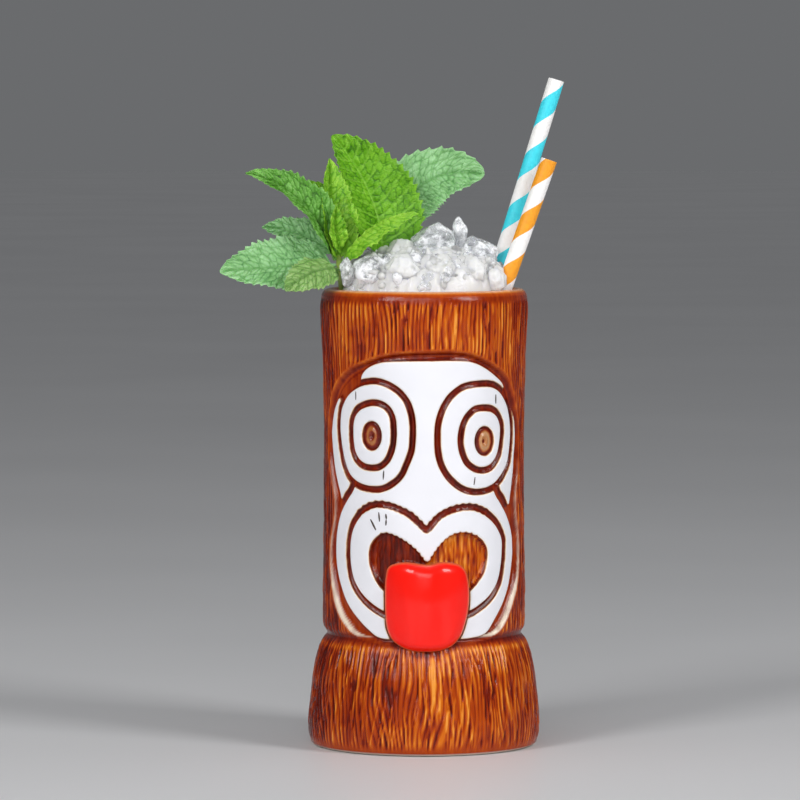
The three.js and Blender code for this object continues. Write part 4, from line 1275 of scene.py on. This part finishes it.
def stem_piece(name, spec, material):
    """A square-ish ribbed mint stem."""
    around, along = 24, 60
    a, t = np.meshgrid(circle_angles(around), np.linspace(0, 1, along))
    knuckle = 0.22 * bell(t, 0.93, 0.03) - 0.35 * smoothstep(0.97, 1.0, t)
    r = spec["radius"] * (0.90 + 0.08 * np.cos(4 * a) - 0.06 * t) + knuckle * 0.6
    turn = np.array(STEM_AXIS.to_track_quat("Z", "Y").to_matrix())
    local = np.stack([r * np.cos(a), r * np.sin(a), t * spec["length"]], axis=2).reshape(-1, 3)
    vertices = (local @ turn.T + np.array(spec["foot"])) * MM
    piece = make_object(f"stem_{name}", vertices, capped_faces(along, around))
    finish(piece, "mint_stem", "mint_bunch", material, f"mint_stem_{name}")


# ------------------------------------------------------------------ ice

SPHERES = {}
SPLINTER_MM = 2.4
GRAINS = 420  # in the mound's surface
CHIPS = 420  # tried on the mound: fewer are kept
CHIP_REACH = 34.2  # so no chip comes near the mug's wall
MOUND_FOOT_Z = 171.6
BORE_SHOWN = 14  # how deep the mound is open round a straw or a stem
CLEAR_LUMPS = ("ice_loose_crown", "ice_loose_shard", "ice_loose_right", "ice_front_left", "ice_edge_left")
# How a lump is cut: its size in its CAD box, its facets, its mesh's detail, how sharp its edges are,
# and how far it is crushed in mm. Chips have the same without the first.
LUMP_CUTS = {"clear_ice": (1.08, 11, 5, 60.0, 0.5), "packed_ice": (1.26, 14, 5, 14.0, 1.5)}
CHIP_CUT = (7, 3, 60.0, 0.4)
FIRST_LUMP_SEED = 60
FIRST_CHIP_SEED = 200


def icosphere(detail):
    """Unit icosphere vertices and faces."""
    if detail not in SPHERES:
        bpy.ops.mesh.primitive_ico_sphere_add(subdivisions=detail, radius=1)
        ball = bpy.context.object
        vertices = np.array([v.co for v in ball.data.vertices])
        faces = np.array([p.vertices for p in ball.data.polygons])
        SPHERES[detail] = (vertices, faces)
        bpy.data.objects.remove(ball)
    return SPHERES[detail]


def roughness(points, seed, size):
    """Noise at each point, one value per vertex, with lumps about size mm across."""
    offset = Vector((seed * 7.1, 0, 0))
    return np.array([noise.fractal(Vector(p / size) + offset, 1.0, 2.0, 1) for p in points])


def splinters(points, seed):
    """Broken ice: hollow chips with sharp ridges between them, in units of the chips' size."""
    offset = Vector((seed * 3.3, seed * 1.7, 0))
    return np.array([
        noise.voronoi(Vector(p / SPLINTER_MM) + offset)[0][0] for p in points
    ]) - 0.5


def cut_lump(centre, half, seed, facets, detail, sharpness, crushed):
    """A rounded irregular polyhedron: an ellipsoid cut by random planes, with smoothed edges.
    crushed is how far its surface is broken up into chips, in mm."""
    rng = np.random.default_rng(seed)
    planes = rng.normal(size=(facets, 3))
    planes /= np.linalg.norm(planes, axis=1)[:, None]
    offsets = rng.uniform(0.72, 1.0, facets)
    direction, faces = icosphere(detail)
    reach = np.maximum(direction @ planes.T, 0.02) / offsets
    radius = np.minimum((reach ** sharpness).sum(axis=1) ** (-1 / sharpness), 1.12)
    radius = radius * (1 + 0.07 * roughness(direction, seed, 0.43))
    points = direction * radius[:, None] * np.array(half)
    points = points + direction * (crushed * splinters(points, seed))[:, None]
    return points + np.array(centre), faces


def lump_pieces(materials):
    """Each lump fills the box of its CAD node: clear ones on top, crushed clumps below and between."""
    nodes = sorted(n for n in frame["nodes"] if n.startswith("ice_") and n != "ice_pack")
    for seed, node in enumerate(nodes, FIRST_LUMP_SEED):
        low, high = (np.array(c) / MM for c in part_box(node))
        look = "clear_ice" if node in CLEAR_LUMPS else "packed_ice"
        grow, *cut = LUMP_CUTS[look]
        vertices, faces = cut_lump((low + high) / 2, (high - low) / 2 * grow, seed, *cut)
        piece = make_object(node.replace("ice_", "lump_"), vertices * MM, faces)
        finish(piece, look, frame["nodes"][node]["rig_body"], materials[look], node)


MOUND_MIDDLE = (2, 2)
MOUND = ((0, 190.0), (8, 189.6), (16, 188.0), (25, 185.2), (31.5, 180.0), (34.5, 173.0))  # radius, height


def mound_height(x, y):
    """The top of the packed ice: a heap, higher behind and to the right of the middle."""
    return np.interp(np.hypot(x - MOUND_MIDDLE[0], y - MOUND_MIDDLE[1]), *zip(*MOUND))


def packed_ice(material):
    """The frozen plug: crushed grains stuck together, with bores for the straws and the stems."""
    low, high = (np.array(c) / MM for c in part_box("ice_pack"))
    wall = (high[0] - low[0]) / 2 - 0.9
    base = low[2] + 0.4
    around = 300
    profile = [(0.5, base), (wall * 0.5, base), (wall - 1.6, base), (wall - 1.2, low[2] + 1.6)]
    profile += [(wall - 1.2, h) for h in np.arange(low[2] + 3, 168.0, 1.8)]
    profile += [(wall - 0.9, 171.5), (wall - 0.6, 171.5)]
    profile += [(r, MOUND_FOOT_Z) for r in np.linspace(wall - 0.8, 0.4, 84)]
    rows = np.array(profile)
    a, r = np.meshgrid(circle_angles(around), rows[:, 0])
    z = np.repeat(rows[:, 1:], around, axis=1)
    x, y = r * np.cos(a), r * np.sin(a)
    on_top = (rows[:, 1:] >= MOUND_FOOT_Z) * 1.0
    flat = np.stack([x, y, 0 * x], axis=2).reshape(-1, 3)
    grit = 1.2 * splinters(flat, 7).reshape(x.shape)
    coarse = value_noise(a / (2 * math.pi) * 90, z / 2.4, 71, wrap_x=90)
    fine = value_noise(a / (2 * math.pi) * 180, z / 1.2, 72, wrap_x=180)
    grow = (1 - on_top) * (0.6 * coarse + 0.35 * fine - 0.2) * smoothstep(0.6, 1.0, r / wall)
    top = np.maximum(mound_height(x, y) - 0.4 + grain_bumps(x, y) + grit, MOUND_FOOT_Z)
    top = top - BORE_SHOWN * (1 - smoothstep(0.3, 1.0, clear_of_bores(x, y, top)))
    z = z + on_top * (top - z) * smoothstep(wall - 0.6, wall - 1.6, r)
    vertices = np.stack([(r + grow) * np.cos(a), (r + grow) * np.sin(a), z], axis=2).reshape(-1, 3) * MM
    piece = make_object("packed_ice", vertices, capped_faces(len(rows), around))
    finish(piece, "packed_ice", "ice", material, "ice_pack")


def grain_bumps(x, y):
    """How far rounded grains push up out of the mound, in mm."""
    rng = np.random.default_rng(5)
    radius = 34 * np.sqrt(rng.uniform(0, 1, GRAINS))
    angle = rng.uniform(0, 2 * math.pi, GRAINS)
    sizes = rng.uniform(1.6, 4.2, GRAINS)
    height = np.full(x.shape, -0.6)
    for cx, cy, size in zip(radius * np.cos(angle), radius * np.sin(angle), sizes):
        away = np.hypot(x - cx, y - cy) / size
        height = np.maximum(height, np.where(away < 1, 0.75 * size * quarter_round(away) - 0.5, -0.6))
    return height


def ice_chips(materials):
    """Small chips and grains scattered over the mound between the lumps: most white, some clear."""
    rng = np.random.default_rng(23)
    groups = {"packed_ice": [], "clear_ice": []}
    for k in range(CHIPS):
        radius = 32.5 * math.sqrt(rng.uniform(0, 1))
        angle = rng.uniform(0, 2 * math.pi)
        x, y = radius * math.cos(angle), radius * math.sin(angle)
        size = rng.uniform(1.0, 2.9)
        half = size * rng.uniform(0.45, 1.15, 3)
        z = float(mound_height(x, y)) + half[2] * rng.uniform(0.0, 0.7)
        look = "clear_ice" if rng.uniform() < 0.3 else "packed_ice"
        reach = half[:2].max()
        if radius + reach > CHIP_REACH or clear_of_bores(x, y, z) < reach + 0.3:
            continue
        groups[look].append(cut_lump((x, y, z), half, FIRST_CHIP_SEED + k, *CHIP_CUT))
    for look, chips in groups.items():
        starts = np.cumsum([0] + [len(points) for points, _ in chips[:-1]])
        points = np.vstack([points for points, _ in chips])
        faces = np.vstack([triangles + start for (_, triangles), start in zip(chips, starts)])
        piece = make_object(f"ice_chips_{look.split('_')[0]}", points * MM, faces)
        finish(piece, look, "ice", materials[look])


def clear_of_bores(x, y, z):
    """How far points are from the nearest straw or mint stem, measured level, in mm."""
    clear = np.full(np.shape(z), 99.0)
    for spec in STRAWS.values():
        low, high = (Vector(c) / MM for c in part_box(spec["node"]))
        lean = math.radians(spec["lean"])
        axis_x = high.x - STRAW_R * math.cos(lean) - (high.z - z) * math.tan(lean)
        away = np.hypot(x - axis_x, y - (low.y + high.y) / 2)
        clear = np.minimum(clear, away - STRAW_R / math.cos(lean))
    for spec in STEMS.values():
        foot = spec["foot"]
        rise = (z - foot[2]) / STEM_AXIS.z
        away = np.hypot(x - foot[0] - STEM_AXIS.x * rise, y - foot[1] - STEM_AXIS.y * rise)
        clear = np.minimum(clear, away - spec["radius"])
    return clear


# ------------------------------------------------------------------ stage, light and camera

LIGHT_TARGET = (0, 0, 0.11)
# Azimuth, distance and height, width and depth, and power.
SOFTBOXES = {
    "softbox_left": (-38, 1.4, 0.90, (0.45, 0.70), 11.6),
    "softbox_right": (52, 1.4, 0.90, (0.45, 0.70), 13.0),
    "front_fill": (-6, 2.6, 1.05, (1.6, 0.9), 17),
}
LENS_MM = 233.0
CAMERA_PLACE = (-0.0092, -1.977, 0.250)
CAMERA_TARGET = (-0.0092, 0, 0.1317)


def aim(obj, target):
    obj.rotation_euler = (Vector(target) - obj.location).to_track_quat("-Z", "Y").to_euler()


def softbox(name, azimuth, distance, height, size, power):
    """A rectangular light. azimuth is in degrees from the camera's side, towards +X."""
    data = bpy.data.lights.new(name, "AREA")
    data.shape = "RECTANGLE"
    data.size, data.size_y = size
    data.energy = power
    lamp = link(name, data)
    angle = math.radians(azimuth)
    lamp.location = (distance * math.sin(angle), -distance * math.cos(angle), height)
    aim(lamp, LIGHT_TARGET)


def studio():
    world = bpy.data.worlds.new("studio")
    bpy.context.scene.world = world
    world.use_nodes = True
    background = world.node_tree.nodes["Background"]
    background.inputs["Color"].default_value = (0.80, 0.82, 0.85, 1)
    background.inputs["Strength"].default_value = 0.18
    sun = bpy.data.lights.new("overhead", "SUN")
    sun.energy = 0.20
    sun.angle = math.radians(80)
    link("overhead", sun).rotation_euler = (math.radians(25), 0, 0)
    for name, placed in SOFTBOXES.items():
        softbox(name, *placed)

    floor_mesh = bpy.data.meshes.new("floor")
    half = 14.0
    corners = [(-half, -half, 0), (half, -half, 0), (half, half, 0), (-half, half, 0)]
    floor_mesh.from_pydata(corners, [], [(0, 1, 2, 3)])
    floor = link("floor", floor_mesh)
    floor.location.z = -0.0002  # just below the mug's foot
    material, tree, shader = node_material("pale_floor")
    tint = ramp(tree, noise_at(tree, 3.0, 2.0), (0.3, (0.70, 0.70, 0.71)), (0.7, (0.74, 0.74, 0.75)))
    feed(tree, shader, {"Base Color": tint, "Roughness": 0.45})
    floor_mesh.materials.append(material)


def camera():
    bpy.context.scene.view_settings.view_transform = "Standard"
    data = bpy.data.cameras.new("camera")
    data.lens = LENS_MM
    data.sensor_width = 36.0
    data.clip_end = 60.0
    cam = link("camera", data)
    cam.location = CAMERA_PLACE
    aim(cam, CAMERA_TARGET)
    bpy.context.scene.camera = cam


# ------------------------------------------------------------------ build it all

camera()
studio()

looks = {
    "bark_glaze": bark_material(),
    "white_glaze": white_material(),
    "pupil_glaze": pupil_material(),
    "red_glaze": red_material(),
    "brush_marks": mark_material(),
    "blue": straw_material("blue_paper", (0.050, 0.72, 0.84), (0.035, 0.62, 0.76)),
    "orange": straw_material("orange_paper", (0.94, 0.38, 0.012), (0.85, 0.30, 0.008)),
    "packed_ice": packed_ice_material(),
    "clear_ice": clear_ice_material(),
    "mint_stem": stem_material(),
}
# Each look: the net between the cells, darkened as painted shade, the cells, their highest parts, the veins
# and the underside.
LEAF_LOOKS = {
    "bright": (
        (0.022, 0.110, 0.002), (0.105, 0.320, 0.005), (0.235, 0.540, 0.030), (0.250, 0.540, 0.050),
        (0.200, 0.400, 0.050),
    ),
    "dusty": (
        (0.060, 0.200, 0.055), (0.200, 0.440, 0.160), (0.360, 0.640, 0.320), (0.120, 0.320, 0.090),
        (0.220, 0.420, 0.180),
    ),
    "dark": (
        (0.012, 0.062, 0.005), (0.075, 0.265, 0.016), (0.250, 0.540, 0.130), (0.080, 0.240, 0.030),
        (0.150, 0.310, 0.060),
    ),
    "pale": (
        (0.080, 0.200, 0.035), (0.180, 0.350, 0.085), (0.350, 0.520, 0.200), (0.110, 0.240, 0.050),
        (0.220, 0.360, 0.110),
    ),
    "young": (
        (0.060, 0.220, 0.008), (0.170, 0.430, 0.016), (0.340, 0.620, 0.055), (0.270, 0.540, 0.050),
        (0.150, 0.320, 0.030),
    ),
}

raw_fields, relief = relief_fields()
mug_body(raw_fields, relief, looks["bark_glaze"])
face_pieces(relief, looks)
tongue_piece(raw_fields, looks["red_glaze"])
brush_marks(looks["brush_marks"])

for straw_colour in STRAWS:
    straw_piece(straw_colour, looks[straw_colour])

packed_ice(looks["packed_ice"])
lump_pieces(looks)
ice_chips(looks)

for stem_name, stem_spec in STEMS.items():
    stem_piece(stem_name, stem_spec, looks["mint_stem"])
leaf_looks = {key: leaf_material(f"mint_leaf_{key}", *colours) for key, colours in LEAF_LOOKS.items()}
for leaf_name, leaf_spec in LEAVES.items():
    leaf_piece(leaf_name, leaf_spec, leaf_looks[leaf_spec["look"]])
